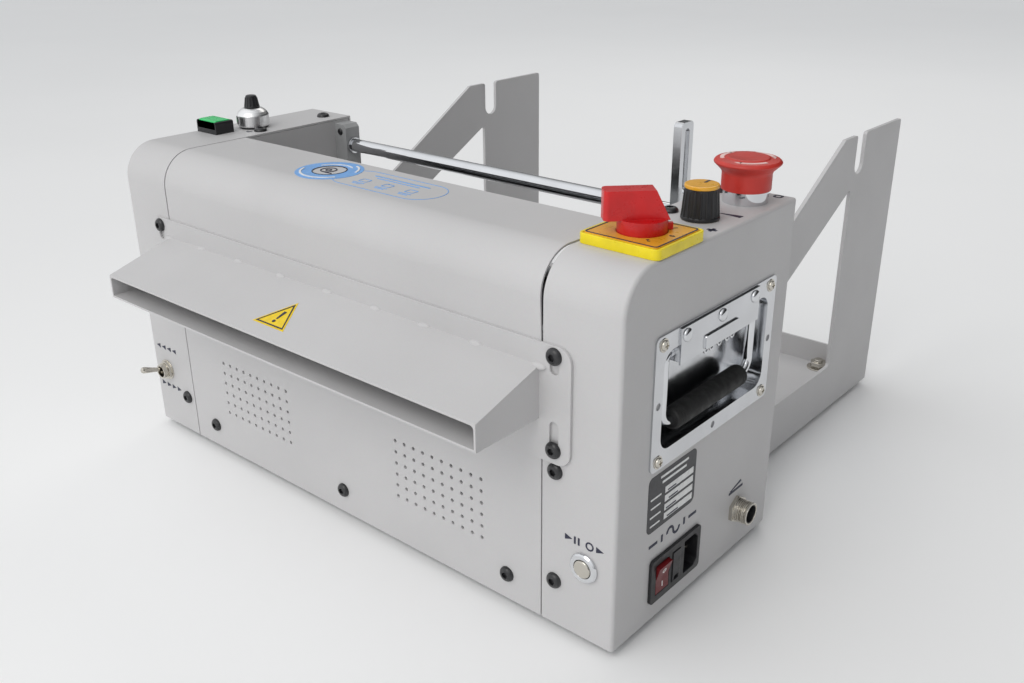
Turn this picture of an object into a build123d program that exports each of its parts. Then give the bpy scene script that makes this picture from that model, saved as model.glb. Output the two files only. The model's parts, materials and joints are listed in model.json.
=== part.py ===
from build123d import *
import math
import os

# Desktop paper-cushion machine with a rear roll holder. Millimetres.
# Working frame: X from the left end, Y back from the front face, Z up from the casing's underside.
# place() moves every piece so that the origin is the middle of the whole footprint, at bench level.

# Casing
LENGTH = 472.0
DEPTH = 186.0
HEIGHT = 235.0
CABINET = 53.0
SEAM = 1.0
SHEET = 1.5
FRONT_RADIUS = 26.0
EDGE_RADIUS = 2.5
HOOD_DEPTH = 76.0
PLATE = 6.0
PLATE_GAP = 0.3
PAN = 2.0
PAN_FLANGE = 24.0
REAR_PANEL_TOP = 150.0
RIGHT = LENGTH - CABINET

# Rubber feet
FOOT = 6.0
FOOT_RADIUS = 11.0
FOOT_INSET = 22.0

# Outlet chute on the front
CHUTE_REACH = 55.0
CHUTE_FLOOR = 138.5
CHUTE_LIP = 155.7
CHUTE_TOP = 171.5
FLANGE = 2.0
FLANGE_LOW = 112.5
FLANGE_HIGH = 185.5
FLANGE_MARGIN = 32.0

# Cooling holes
VENT_PITCH = 8.5
VENT_RADIUS = 1.35
VENT_COLUMNS = 10
VENT_ROWS = 6
VENT_START = 101.8
VENT_LOW = 36.5

# Button-head screws
SCREW_HEAD = 5.25
SCREW_HEIGHT = 2.9
SCREW_SHANK = 2.5
SCREW_LENGTH = 5.0
HOLE_PLAY = 0.1

# Embossing rollers and their drive
ROLLER_Y = 50.0
ROLLER_SPACING = 50.0
ROLLER_Z = 130.0
ROLLER_RADIUS = 24.7
GROOVE_DEPTH = 2.0
GROOVE_PITCH = 12.0
JOURNAL = 7.45
BEARING_BORE = 7.5
BEARING_RADIUS = 16.0
MODULE = 1.25
PRESSURE = math.radians(20)
BACKLASH = 0.16
SYNC_TEETH = 40
DRIVE_TEETH = 72
PINION_TEETH = 20
MOTOR_ANGLE = -50.0
MOTOR_RADIUS = 30.0
MOTOR_LENGTH = 110.0
SHAFT = 5.0
RUNNING = 0.05

# Guide bar and the blocks that hold it
BAR_Y = 175.5
BAR_Z = 213.5
BAR_RADIUS = 5.5
BLOCK_WIDTH = 15.0
BLOCK_LENGTH = 14.0
BLOCK_LOW = 160.0
BLOCK_HIGH = 231.5
GUIDE_X = 390.6
GUIDE_THICKNESS = 6.0
GUIDE_TOP = 274.6

# Roll holder
BRACKET = 3.0
BRACKET_X = 431.0
HOLDER_BACK = 456.0
SLOT_Y = 379.0
SLOT_RADIUS = 8.0
SLOT_Z = 214.0
TRAY_WALL = 23.0
TRAY_FEET = [(82.0, 445.0), (LENGTH - 82.0, 445.0)]

# Controls on the cabinets' tops
SELECTOR = (445.6, 52.4)
SELECTOR_SIZE = (52.4, 48.0)
KNOB = (448.0, 109.6)
STOP = (449.6, 160.0)
DIAL = (26.0, 105.0)
START = (16.5, 74.5)
START_SIZE = (26.0, 17.0)
START_TRAVEL = 2.5
STOP_TRAVEL = 4.0

# Controls on the front
TOGGLE = (18.0, 49.2)
TOGGLE_TILT = 17.0
TEST = (450.5, 50.5)

# Right end
HANDLE_Y = 97.8
HANDLE_Z = 149.0
HANDLE_SIZE = (136.0, 84.0)
HANDLE_SHEET = 1.2
DISH_HALF = 59.0
DISH_LOW = 118.0
DISH_HIGH = 180.0
DISH_DEPTH = 16.0
BAIL_HALF = 50.0
BAIL_WIRE = 3.0
BAIL_PIVOT_Z = 174.0
BAIL_IN = 5.0
GRIP_Z = 130.0
GRIP_RADIUS = 7.0
INLET = (64.0, 28.7)
INLET_SIZE = (56.2, 31.5)
PEDAL = (140.3, 31.2)
ROCKER_TILT = 7.0

# Bounds that the overhanging pieces set, and the origin they give
SOCKET_REACH = 12.0
RIVET_HEAD = 1.9
COVER_REACH = 2 * HANDLE_SHEET + RIVET_HEAD
X_MIDDLE = (LENGTH + SOCKET_REACH - COVER_REACH) / 2
Y_MIDDLE = (HOLDER_BACK - CHUTE_REACH) / 2

PIECES = {}


def place(name, shape):
    """Keep a finished piece under its node name, moved to the part's own origin."""
    PIECES[name] = Pos(-X_MIDDLE, -Y_MIDDLE, FOOT) * shape


def block(x, y, z):
    """Box from its low and high ends along X, Y and Z."""
    size = [high - low for low, high in (x, y, z)]
    middle = [(high + low) / 2 for low, high in (x, y, z)]
    return Pos(*middle) * Box(*size)


def rod(start, direction, radius, length, tip=None):
    """Cylinder, or a cone to the radius tip, that starts at a point and runs along a direction."""
    base = Plane(origin=start, z_dir=direction)
    low = (Align.CENTER, Align.CENTER, Align.MIN)
    if tip is None:
        return base * Cylinder(radius, length, align=low)
    return base * Cone(radius, tip, length, align=low)


def bored(solid, start, direction, radius, length):
    """Solid with a round hole through it."""
    return solid - rod(start, direction, radius, length)


def side_plane(x):
    """Plane across the machine at x, whose own axes are Y and Z."""
    return Plane(origin=(x, 0, 0), x_dir=(0, 1, 0), z_dir=(1, 0, 0))


def slab(x, outline):
    """Solid between two X values from an outline in Y and Z."""
    face = make_face(side_plane(x[0]) * Polyline(*outline, close=True))
    return extrude(face, amount=x[1] - x[0], dir=(1, 0, 0))


def casing(x, inset, back, low):
    """Solid with the casing's side outline: flat front, round front-top edge, flat top."""
    top = HEIGHT - inset
    radius = FRONT_RADIUS - inset
    corners = [(FRONT_RADIUS, top), (back, top), (back, low), (inset, low), (inset, HEIGHT - FRONT_RADIUS)]
    lines = Polyline(*corners)
    lines += CenterArc((FRONT_RADIUS, HEIGHT - FRONT_RADIUS), radius, 90, 90)
    face = make_face(side_plane(x[0]) * lines)
    return extrude(face, amount=x[1] - x[0], dir=(1, 0, 0))


def mirrored(shape):
    """The same shape at the machine's other end."""
    return mirror(shape, about=Plane.YZ.offset(LENGTH / 2))


def slot_z(centre, low, high, radius, y):
    """Vertical slot with round ends, cut along Y."""
    shape = block((centre - radius, centre + radius), y, (low, high))
    for z in (low, high):
        shape += rod((centre, y[0], z), (0, 1, 0), radius, y[1] - y[0])
    return shape


def button_screw(seat, direction):
    """Button-head screw with a hexagon socket; its head sits on seat and points along direction."""
    base = Plane(origin=seat, z_dir=direction)
    low = (Align.CENTER, Align.CENTER, Align.MIN)
    head = base * Cylinder(SCREW_HEAD, SCREW_HEIGHT, align=low)
    rim = head.edges().filter_by(GeomType.CIRCLE).sort_by(lambda e: (e.center() - Vector(*seat)).length)[-1]
    head = fillet(rim, SCREW_HEIGHT * 0.72)
    socket = base * Pos(0, 0, SCREW_HEIGHT - 1.7) * extrude(RegularPolygon(2.3, 6), amount=3)
    back = tuple(-value for value in direction)
    return head + rod(seat, back, SCREW_SHANK, SCREW_LENGTH) - socket


def screw_hole(seat, direction, depth=8.0):
    """Clearance hole for a screw's shank."""
    back = tuple(-value for value in direction)
    start = [point + 0.5 * value for point, value in zip(seat, direction)]
    return rod(start, back, SCREW_SHANK + HOLE_PLAY, depth)


# Places of the button-head screws: seat and the way the head points
FRONT = (0, -1, 0)
UP = (0, 0, 1)
BACK = (0, 1, 0)
CABINET_SCREW_X = (43.5, LENGTH - 43.5)
CASING_SCREWS = [((x, 0, z), FRONT) for x in CABINET_SCREW_X for z in (31.5, 107.0)]
PANEL_SCREWS = [((x, 0, 18.5), FRONT) for x in (81.0, LENGTH / 2, LENGTH - 81.0)]
FLANGE_SCREWS = [((x, -FLANGE, z), FRONT) for x in CABINET_SCREW_X for z in (121.5, 179.5)]
TOP_SCREWS = [((x, y, HEIGHT), UP) for x, y in ((43.4, 98.6), (37.0, 169.3), (426.1, 111.6), (425.8, 171.0))]
FLANGE_REAR = DEPTH + BRACKET
BRACKET_SCREW_Z = (12.0, 30.0, 110.0, 132.0)
BRACKET_SCREWS = [((x, FLANGE_REAR, z), BACK) for x in (29.0, LENGTH - 29.0) for z in BRACKET_SCREW_Z]
ALL_SCREWS = CASING_SCREWS + PANEL_SCREWS + FLANGE_SCREWS + TOP_SCREWS + BRACKET_SCREWS


def with_screw_holes(solid, screws):
    """Solid with a clearance hole for each screw in the list."""
    for seat, direction in screws:
        solid -= screw_hole(seat, direction)
    return solid


def make_screws():
    screws = [button_screw(seat, direction) for seat, direction in ALL_SCREWS]
    place("button_screws", Compound(children=screws))


def cabinet_cover():
    """Left end cover: end wall, front, top and back of folded sheet, open towards the middle."""
    outer = casing((0, CABINET), 0, DEPTH, 0)
    end = outer.faces().sort_by(Axis.X)[0]
    rounded = [edge for edge in end.edges() if edge.center().Z > 1]
    outer = fillet(rounded, EDGE_RADIUS)
    return outer - casing((SHEET, CABINET + 1), SHEET, DEPTH - SHEET, -1)


def dish_opening(x):
    """Hole in an end wall for the recessed handle's dish."""
    gap = HANDLE_SHEET + 0.4
    y = (HANDLE_Y - DISH_HALF - gap, HANDLE_Y + DISH_HALF + gap)
    return block(x, y, (DISH_LOW - gap, DISH_HIGH + gap))


HANDLE_SCREW_Y = (HANDLE_Y - 60.5, HANDLE_Y + 60.5)
HANDLE_SCREWS = [(y, z) for y in HANDLE_SCREW_Y for z in (112.6, 185.4)]
HANDLE_RIVETS = [(HANDLE_Y + step, 184.8) for step in (-38.5, 0.0, 38.5)]
HANDLE_FASTENERS = HANDLE_SCREWS + HANDLE_RIVETS


def make_cabinets():
    cover = cabinet_cover() - dish_opening((-1, 3))
    for y, z in HANDLE_FASTENERS:
        cover = bored(cover, (-3, y, z), (1, 0, 0), 2.1, 8)
    left = with_screw_holes(cover, ALL_SCREWS)
    start_y = (START[1] - 5.7, START[1] + 5.7)
    left -= block((START[0] - 10.2, START[0] + 10.2), start_y, (HEIGHT - 3, HEIGHT + 1))
    left = bored(left, (*DIAL, HEIGHT + 1), (0, 0, -1), 4.6, 4)
    left = bored(left, (TOGGLE[0], -1, TOGGLE[1]), BACK, 6.0, 4)
    place("left_cabinet", left)

    right = with_screw_holes(mirrored(cover), ALL_SCREWS)
    for centre, radius in ((SELECTOR, 11.1), (KNOB, 3.6), (STOP, 11.1)):
        right = bored(right, (*centre, HEIGHT + 1), (0, 0, -1), radius, 4)
    right = bored(right, (TEST[0], -1, TEST[1]), BACK, 8.1, 4)
    right -= inlet_block((LENGTH - 4, LENGTH + 1), 3.0)
    right = bored(right, (LENGTH + 1, *PEDAL), (-1, 0, 0), 8.0, 4)
    place("right_cabinet", right)


def inlet_block(x, margin):
    """Block behind the mains inlet's face, smaller than the face by a margin."""
    half_y = INLET_SIZE[0] / 2 - margin
    half_z = INLET_SIZE[1] / 2 - margin
    y = (INLET[0] - half_y, INLET[0] + half_y)
    return block(x, y, (INLET[1] - half_z, INLET[1] + half_z))


def make_bearing_plates():
    """Thick side plates that carry the rollers and close the cabinets."""
    gap = SHEET + PLATE_GAP
    plate = casing((CABINET - PLATE, CABINET), gap, DEPTH - gap, PAN)
    for z in (ROLLER_Z, ROLLER_Z + ROLLER_SPACING):
        plate = bored(plate, (CABINET - PLATE - 1, ROLLER_Y, z), (1, 0, 0), BEARING_RADIUS + 0.02, PLATE + 2)
    place("right_bearing_plate", with_screw_holes(mirrored(plate), TOP_SCREWS))
    motor_y, motor_z = motor_axis()
    left = bored(plate, (CABINET - PLATE - 1, motor_y, motor_z), (1, 0, 0), 11.1, PLATE + 2)
    place("left_bearing_plate", left)


def make_base():
    """Bottom pan with its flanges standing inside the covers."""
    gap = SHEET + 0.1
    outside = block((gap, LENGTH - gap), (gap, DEPTH - gap), (0, PAN_FLANGE))
    wall = gap + SHEET
    inside = block((wall, LENGTH - wall), (wall, DEPTH - wall), (PAN, PAN_FLANGE + 1))
    pan = outside - inside
    for x in (CABINET - PLATE, RIGHT):
        pan -= block((x - 0.2, x + PLATE + 0.2), (0, DEPTH), (PAN, PAN_FLANGE + 1))
    for (y, z), half_y, half_z in ((INLET, 25.6, 13.3), (PEDAL, 8.8, 8.8)):
        pan -= block((LENGTH - 5, LENGTH), (y - half_y, y + half_y), (z - half_z, PAN_FLANGE + 1))
    place("base_pan", with_screw_holes(pan, PANEL_SCREWS + BRACKET_SCREWS))


def make_feet():
    """Moulded rubber feet under the casing and under the rear tray."""
    spots = [(x, y) for x in (FOOT_INSET, LENGTH - FOOT_INSET) for y in (FOOT_INSET, DEPTH - FOOT_INSET)]
    spots += TRAY_FEET
    feet = [rod((x, y, 0), (0, 0, -1), FOOT_RADIUS, FOOT, tip=FOOT_RADIUS - 2) for x, y in spots]
    place("rubber_feet", Compound(children=feet))


def make_hood():
    """Rolled cover over the rollers, with a turned-down rear edge."""
    x = (CABINET + SEAM, RIGHT - SEAM)
    low = 173.0
    outer = casing(x, 0, HOOD_DEPTH, low)
    inner = casing((x[0] - 1, x[1] + 1), SHEET, HOOD_DEPTH - SHEET, low - 1)
    below = block((x[0] - 1, x[1] + 1), (HOOD_DEPTH - 10, HOOD_DEPTH + 1), (low - 1, HEIGHT - 12))
    place("hood", outer - inner - below)


def vent_holes():
    """Two grids of round cooling holes, one each side of the middle."""
    span = VENT_PITCH * (VENT_COLUMNS - 1)
    holes = []
    for start in (VENT_START, LENGTH - VENT_START - span):
        for column in range(VENT_COLUMNS):
            for row in range(VENT_ROWS):
                point = (start + column * VENT_PITCH, -1, VENT_LOW + row * VENT_PITCH)
                holes.append(rod(point, BACK, VENT_RADIUS, 4))
    return holes


def make_panels():
    x = (CABINET + SEAM, RIGHT - SEAM)
    front = with_screw_holes(block(x, (0, SHEET), (0, CHUTE_FLOOR - 1)), PANEL_SCREWS)
    place("front_panel", front - vent_holes())
    rear = block(x, (DEPTH - SHEET, DEPTH), (0, REAR_PANEL_TOP))
    rear += block(x, (DEPTH - 14, DEPTH), (REAR_PANEL_TOP - SHEET, REAR_PANEL_TOP))
    place("rear_panel", rear)


def make_chute():
    """Outlet hood: a flat flange with a wedge-shaped duct welded to it."""
    x = (CABINET + SEAM, RIGHT - SEAM)
    flange = block((FLANGE_MARGIN, LENGTH - FLANGE_MARGIN), (-FLANGE, 0), (FLANGE_LOW, FLANGE_HIGH))
    flange = fillet(flange.edges().filter_by(Axis.Y), 9)
    floor_points = [(-FLANGE, CHUTE_FLOOR), (-CHUTE_REACH, CHUTE_FLOOR)]
    duct = slab(x, floor_points + [(-CHUTE_REACH, CHUTE_LIP), (-FLANGE, CHUTE_TOP)])
    slope = (CHUTE_TOP - CHUTE_LIP) / (CHUTE_REACH - FLANGE)
    drop = SHEET * math.hypot(1, slope)
    back = 1.0
    hollow = [
        (back, CHUTE_FLOOR + SHEET),
        (-CHUTE_REACH - 1, CHUTE_FLOOR + SHEET),
        (-CHUTE_REACH - 1, CHUTE_LIP - drop - slope),
        (back, CHUTE_TOP - drop + slope * (FLANGE + back)),
    ]
    passage = slab((x[0] + SHEET, x[1] - SHEET), hollow)
    along = passage.edges().filter_by(lambda edge: abs(edge.tangent_at(0.5).Y) > 0.9)
    upper = along.filter_by(lambda edge: edge.center().Z > 150)
    passage = fillet(upper, 2.5)
    chute = flange + duct - passage
    for screw_x in CABINET_SCREW_X:
        chute -= slot_z(screw_x, 121.5, 136.0, 3.2, (-FLANGE - 1, 1))
        chute -= slot_z(screw_x, 171.5, 179.5, 3.2, (-FLANGE - 1, 1))
    place("outlet_chute", chute)


def motor_axis():
    """Y and Z of the motor shaft, set so that the pinion meshes with the drive gear."""
    distance = MODULE * (DRIVE_TEETH + PINION_TEETH) / 2
    angle = math.radians(MOTOR_ANGLE)
    return ROLLER_Y + distance * math.cos(angle), ROLLER_Z + distance * math.sin(angle)


def involute(angle):
    return math.tan(angle) - angle


def gear(teeth, centre, x, bore, phase):
    """Spur gear over the span x; a tooth points at the angle phase, from +Y towards +Z."""
    pitch = MODULE * teeth / 2
    base = pitch * math.cos(PRESSURE)
    root = pitch - 1.25 * MODULE
    tip = pitch + 0.95 * MODULE
    half = math.pi / (2 * teeth) - BACKLASH / (4 * pitch) + involute(PRESSURE)
    flank = []
    for radius in (root, max(base, root), pitch, (pitch + tip) / 2, tip):
        roll = math.acos(min(1.0, base / radius))
        flank.append((radius, half - involute(roll)))
    points = []
    for tooth in range(teeth):
        middle = math.radians(phase) + 2 * math.pi * tooth / teeth
        sides = [(radius, middle - turn) for radius, turn in flank]
        sides += [(radius, middle + turn) for radius, turn in reversed(flank)]
        points += [(centre[0] + r * math.cos(a), centre[1] + r * math.sin(a)) for r, a in sides]
    pairs = zip(points, points[-1:] + points[:-1])
    unique = [point for point, before in pairs if math.dist(point, before) > 1e-4]
    return bored(slab(x, unique), (x[0] - 1, *centre), (1, 0, 0), bore, x[1] - x[0] + 2)


def roller(z, journal_start):
    """Ribbed embossing roller with a journal at each end."""
    start, end = CABINET + 3, RIGHT - 3
    solid = rod((start, ROLLER_Y, z), (1, 0, 0), ROLLER_RADIUS, end - start)
    count = int((end - start) // GROOVE_PITCH)
    ring_x = [start + GROOVE_PITCH * (number + 0.5) for number in range(count)]
    rings = [ring(x, z) for x in ring_x]
    solid -= rings
    solid += rod((journal_start, ROLLER_Y, z), (1, 0, 0), JOURNAL, RIGHT + PLATE + 4 - journal_start)
    return solid


def ring(x, z):
    """Groove cutter round a roller."""
    outer = rod((x, ROLLER_Y, z), (1, 0, 0), ROLLER_RADIUS + 1, 3)
    return outer - rod((x - 1, ROLLER_Y, z), (1, 0, 0), ROLLER_RADIUS - GROOVE_DEPTH, 5)


SYNC_X = (33.0, 43.0)
DRIVE_X = (20.0, 30.0)


def make_rollers():
    upper_z = ROLLER_Z + ROLLER_SPACING
    place("lower_embossing_roller", roller(ROLLER_Z, DRIVE_X[0]))
    place("upper_embossing_roller", roller(upper_z, SYNC_X[0]))
    place("lower_sync_gear", gear(SYNC_TEETH, (ROLLER_Y, ROLLER_Z), SYNC_X, JOURNAL, 90))
    half_tooth = 180 / SYNC_TEETH
    place("upper_sync_gear", gear(SYNC_TEETH, (ROLLER_Y, upper_z), SYNC_X, JOURNAL, -90 + half_tooth))
    place("drive_gear", gear(DRIVE_TEETH, (ROLLER_Y, ROLLER_Z), DRIVE_X, JOURNAL, MOTOR_ANGLE))
    bearings = []
    for x in (CABINET - PLATE - 1, RIGHT - 1):
        for z in (ROLLER_Z, upper_z):
            race = rod((x, ROLLER_Y, z), (1, 0, 0), BEARING_RADIUS, PLATE + 2)
            bearings.append(bored(race, (x - 1, ROLLER_Y, z), (1, 0, 0), BEARING_BORE, PLATE + 4))
    place("roller_bearings", Compound(children=bearings))


def make_motor():
    y, z = motor_axis()
    half_tooth = 180 / PINION_TEETH
    place("motor_pinion", gear(PINION_TEETH, (y, z), DRIVE_X, SHAFT, MOTOR_ANGLE + 180 + half_tooth))
    place("motor_shaft", rod((DRIVE_X[0] - 1, y, z), (1, 0, 0), SHAFT, 50))
    gearbox = rod((CABINET, y, z), (1, 0, 0), MOTOR_RADIUS, 32)
    can = rod((CABINET + 32, y, z), (1, 0, 0), MOTOR_RADIUS - 2, MOTOR_LENGTH - 32)
    boss = rod((CABINET - PLATE + 1, y, z), (1, 0, 0), 11.0, PLATE)
    terminals = block((CABINET + 90, CABINET + MOTOR_LENGTH + 4), (y - 8, y + 8), (z - 6, z + 6))
    motor = gearbox + can + boss + terminals
    place("gear_motor", bored(motor, (CABINET - PLATE, y, z), (1, 0, 0), SHAFT + RUNNING, 30))


def make_electronics():
    """Power supply and speed control board on the base pan."""
    supply = block((205, 315), (105, 165), (PAN, 40))
    supply += block((315, 322), (108, 162), (PAN + 4, 18))
    place("power_supply", supply)
    board = block((330, 408), (110, 168), (12, 13.6))
    for x in (335, 403):
        for y in (115, 163):
            board += rod((x, y, PAN), UP, 2.5, 10)
    board += block((340, 356), (120, 150), (13.6, 34))
    for x, y in ((370, 125), (384, 125), (370, 150)):
        board += rod((x, y, 13.6), UP, 5, 16)
    place("control_board", board)


def make_guide_bar():
    """Straight bar that the paper runs over, held by a block at each end."""
    block_out = CABINET + BLOCK_LENGTH
    place("guide_bar", rod((CABINET + 2, BAR_Y, BAR_Z), (1, 0, 0), BAR_RADIUS, RIGHT - CABINET - 4))
    y = (BAR_Y - BLOCK_WIDTH / 2, BAR_Y + BLOCK_WIDTH / 2)
    body = block((CABINET, block_out), y, (BLOCK_LOW, BLOCK_HIGH))
    top = body.edges().filter_by(Axis.Y).filter_by(lambda edge: edge.center().Z > BLOCK_HIGH - 1)
    body = chamfer(top.sort_by(Axis.X)[-1], 3)
    body = bored(body, (CABINET + 1.9, BAR_Y, BAR_Z), (1, 0, 0), BAR_RADIUS, BLOCK_LENGTH)
    slot = block((CABINET - 1, block_out + 1), (BAR_Y - 3, BAR_Y + 3), (170, 194))
    for z in (170, 194):
        slot += rod((CABINET - 1, BAR_Y, z), (1, 0, 0), 3, BLOCK_LENGTH + 2)
    body -= slot
    clamp = (CABINET + 7, y[0], BAR_Z + 11.5)
    screw = rod(clamp, (0, -1, 0), 2.9, 1.2) + rod(clamp, BACK, 2.0, 6)
    body = bored(body, clamp, BACK, 2.05, 7)
    place("guide_blocks", Compound(children=[body, mirrored(body)]))
    place("clamp_screws", Compound(children=[screw, mirrored(screw)]))


def make_paper_guide():
    """Slotted upright that slides along the guide bar to the paper's edge."""
    x = (GUIDE_X, GUIDE_X + GUIDE_THICKNESS)
    upright = block(x, (BAR_Y - 7.25, BAR_Y + 7.25), (BAR_Z - 13, GUIDE_TOP))
    upright = fillet(upright.edges().filter_by(Axis.X), 3)
    upright = bored(upright, (x[0] - 1, BAR_Y, BAR_Z), (1, 0, 0), BAR_RADIUS + RUNNING, GUIDE_THICKNESS + 2)
    slot = block((x[0] - 1, x[1] + 1), (BAR_Y - 2.7, BAR_Y + 2.7), (230, GUIDE_TOP - 7))
    for z in (230, GUIDE_TOP - 7):
        slot += rod((x[0] - 1, BAR_Y, z), (1, 0, 0), 2.7, GUIDE_THICKNESS + 2)
    place("paper_edge_guide", upright - slot)


def bracket_outline():
    """Side outline of a roll bracket in Y and Z, without its axle slot."""
    front = DEPTH
    return [
        (front, 0), (HOLDER_BACK, 0), (HOLDER_BACK, 237.5), (SLOT_Y - SLOT_RADIUS - 22, 237.5),
        (front, 139.5),
    ]


def make_brackets():
    """Upright plates that hold the roll's axle in an open slot, each braced by a diagonal."""
    x = (BRACKET_X - BRACKET, BRACKET_X)
    plate = slab(x, bracket_outline())
    front = DEPTH + 30
    window_back = 369.5
    window_corners = [(front, 42), (window_back, 42), (window_back, 196.5), (front, 115.0)]
    window = slab((x[0] - 1, x[1] + 1), window_corners)
    window = fillet(window.edges().filter_by(Axis.X), 3)
    mouth = block((x[0] - 1, x[1] + 1), (SLOT_Y - SLOT_RADIUS, SLOT_Y + SLOT_RADIUS), (SLOT_Z, 240))
    mouth += rod((x[0] - 1, SLOT_Y, SLOT_Z), (1, 0, 0), SLOT_RADIUS, BRACKET + 2)
    plate = plate - window - mouth
    upper = plate.edges().filter_by(Axis.X).filter_by(lambda edge: edge.center().Z > 237)
    tops = upper.filter_by(lambda edge: edge.center().Y > 365)
    plate = fillet(tops, 2.5)
    flange_x = (BRACKET_X, BRACKET_X + 24)
    for z in ((0, 42), (100, 139.5)):
        plate += block(flange_x, (DEPTH, FLANGE_REAR), z)
    plate = with_screw_holes(plate, BRACKET_SCREWS)
    place("right_roll_bracket", plate)
    place("left_roll_bracket", mirrored(plate))


def make_tray():
    """Shallow pan that ties the two brackets together at bench height."""
    x = (LENGTH - BRACKET_X + BRACKET, BRACKET_X - BRACKET)
    y = (DEPTH, HOLDER_BACK)
    inside = block((x[0] + PAN, x[1] - PAN), (y[0] + PAN, y[1] - PAN), (PAN, TRAY_WALL + 1))
    tray = block(x, y, (0, TRAY_WALL)) - inside
    bolts = []
    for spot in TRAY_FEET:
        tray = bored(tray, (*spot, -1), UP, 4.1, 4)
        nut = Pos(*spot, PAN) * extrude(RegularPolygon(7.5, 6), amount=6.5)
        bolts.append(nut + rod((*spot, 0), UP, 4.0, 10.5))
    place("roll_tray", tray)
    place("foot_bolts", Compound(children=bolts))


def make_selector():
    """Four-position rotary switch: square base, label plate and a lever handle at 45 degrees."""
    half_x, half_y = SELECTOR_SIZE[0] / 2, SELECTOR_SIZE[1] / 2
    x, y = SELECTOR

    def plate(margin, z):
        across = (x - half_x + margin, x + half_x - margin)
        return block(across, (y - half_y + margin, y + half_y - margin), z)

    base = plate(0, (HEIGHT, HEIGHT + 6))
    base = fillet(base.edges().filter_by(Axis.Z), 4)
    base -= plate(2, (HEIGHT + 4.6, HEIGHT + 7))
    base += rod((x, y, HEIGHT + 1), (0, 0, -1), 11.0, 6)
    base += block((x - 17, x + 17), (y - 17, y + 17), (HEIGHT - 36, HEIGHT - SHEET - 0.1))
    base = bored(base, (x, y, HEIGHT + 8), (0, 0, -1), 4.0, 20)
    place("selector_base", base)
    label = plate(2.2, (HEIGHT + 4.6, HEIGHT + 6.4))
    label = fillet(label.edges().filter_by(Axis.Z), 2.5)
    place("selector_label", bored(label, (x, y, HEIGHT + 8), (0, 0, -1), 14.4, 6))

    disc = rod((0, 0, 5.0), UP, 14.0, 9)
    lever = block((-22.3, 14.2), (-6.2, 6.2), (13.5, 30))
    slant = Polyline((6.0, 31), (6.0, 30), (14.3, 13.5), (16, 12), (16, 31), close=True)
    lever -= Pos(0, 10, 0) * extrude(make_face(Plane.XZ * slant), amount=20)
    lever = fillet(lever.edges().filter_by(Axis.Z).sort_by(Axis.X)[:2], 3)
    pointer = Pos(14.5, 0, 8.6) * Box(5, 2.5, 4)
    handle = disc + lever + pointer + rod((0, 0, -10), UP, 3.95, 16)
    place("selector_handle", Pos(x, y, HEIGHT) * Rot(0, 0, 45) * handle)


def make_speed_knob():
    x, y = KNOB
    skirt = rod((x, y, HEIGHT + 0.6), UP, 11.6, 18.4, tip=10.4)
    flutes = []
    for number in range(18):
        turn = math.radians(number * 20)
        point = (x + 12.0 * math.cos(turn), y + 12.0 * math.sin(turn), HEIGHT + 2.5)
        flutes.append(rod(point, UP, 0.9, 20))
    knob = skirt - flutes
    knob = bored(knob, (x, y, HEIGHT), UP, 3.0, 12)
    place("speed_knob", knob)
    cap = rod((x, y, HEIGHT + 19), UP, 10.2, 2.2)
    cap = fillet(cap.edges().sort_by(Axis.Z)[-1], 0.8)
    place("speed_knob_cap", cap)
    bush = rod((x, y, HEIGHT - 12), UP, 8.0, 10.4) + rod((x, y, HEIGHT - 2), UP, 3.5, 2.3)
    place("speed_potentiometer", bush + rod((x, y, HEIGHT - 1), UP, 2.95, 12.5))


def make_stop_button():
    """Mushroom stop button: chrome bezel, sliding stem and the head that twists on it."""
    x, y = STOP
    bezel = rod((x, y, HEIGHT), UP, 14.0, 8) + rod((x, y, HEIGHT + 1), (0, 0, -1), 11.0, 14)
    bezel += block((x - 14, x + 14), (y - 14, y + 14), (HEIGHT - 42, HEIGHT - 10))
    place("stop_button_bezel", bored(bezel, (x, y, HEIGHT + 9), (0, 0, -1), 8.1, 20))
    place("stop_button_stem", rod((x, y, HEIGHT - 5), UP, 7.8, 21.1))
    roof = HEIGHT + 8.2 + STOP_TRAVEL
    head = rod((x, y, HEIGHT + 8), UP, 15.4, 11)
    head += rod((x, y, HEIGHT + 19), UP, 15.4, 4.5, tip=20.7)
    crown = rod((x, y, HEIGHT + 23.5), UP, 20.7, 4.5)
    head += fillet(crown.edges().filter_by(GeomType.CIRCLE).sort_by(Axis.Z)[-1], 3.2)
    head = bored(head, (x, y, HEIGHT + 7), UP, 14.3, roof - HEIGHT - 7)
    place("stop_button_head", bored(head, (x, y, roof - 1), UP, 7.85, 5.0))


def make_start_button():
    """Green push cap between the cheeks of its black housing."""
    x, y = START
    half_x, half_y = START_SIZE[0] / 2, START_SIZE[1] / 2
    outer = block((x - half_x, x + half_x), (y - half_y, y + half_y), (HEIGHT, HEIGHT + 10))
    outer = fillet(outer.edges().filter_by(Axis.Y).sort_by(Axis.Z)[-2:], 2)
    outer -= block((x - half_x + 1.4, x + half_x - 1.4), (y - 20, y + 20), (HEIGHT + 4, HEIGHT + 11))
    well_y = (y - half_y + 0.8, y + half_y - 0.8)
    outer -= block((x - half_x + 1.4, x + half_x - 1.4), well_y, (HEIGHT + 1, HEIGHT + 11))
    body = outer + block((x - 10, x + 10), (y - 5.5, y + 5.5), (HEIGHT - 28, HEIGHT + 1))
    place("start_button_housing", body)
    cap_x = (x - half_x + 1.7, x + half_x - 1.7)
    cap_y = (y - half_y + 1.1, y + half_y - 1.1)
    cap = block(cap_x, cap_y, (HEIGHT + 1.2 + START_TRAVEL, HEIGHT + 10.5))
    cap = fillet(cap.edges().filter_by(Axis.X).sort_by(Axis.Z)[-2:], 1.5)
    place("start_button_cap", cap)


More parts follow.
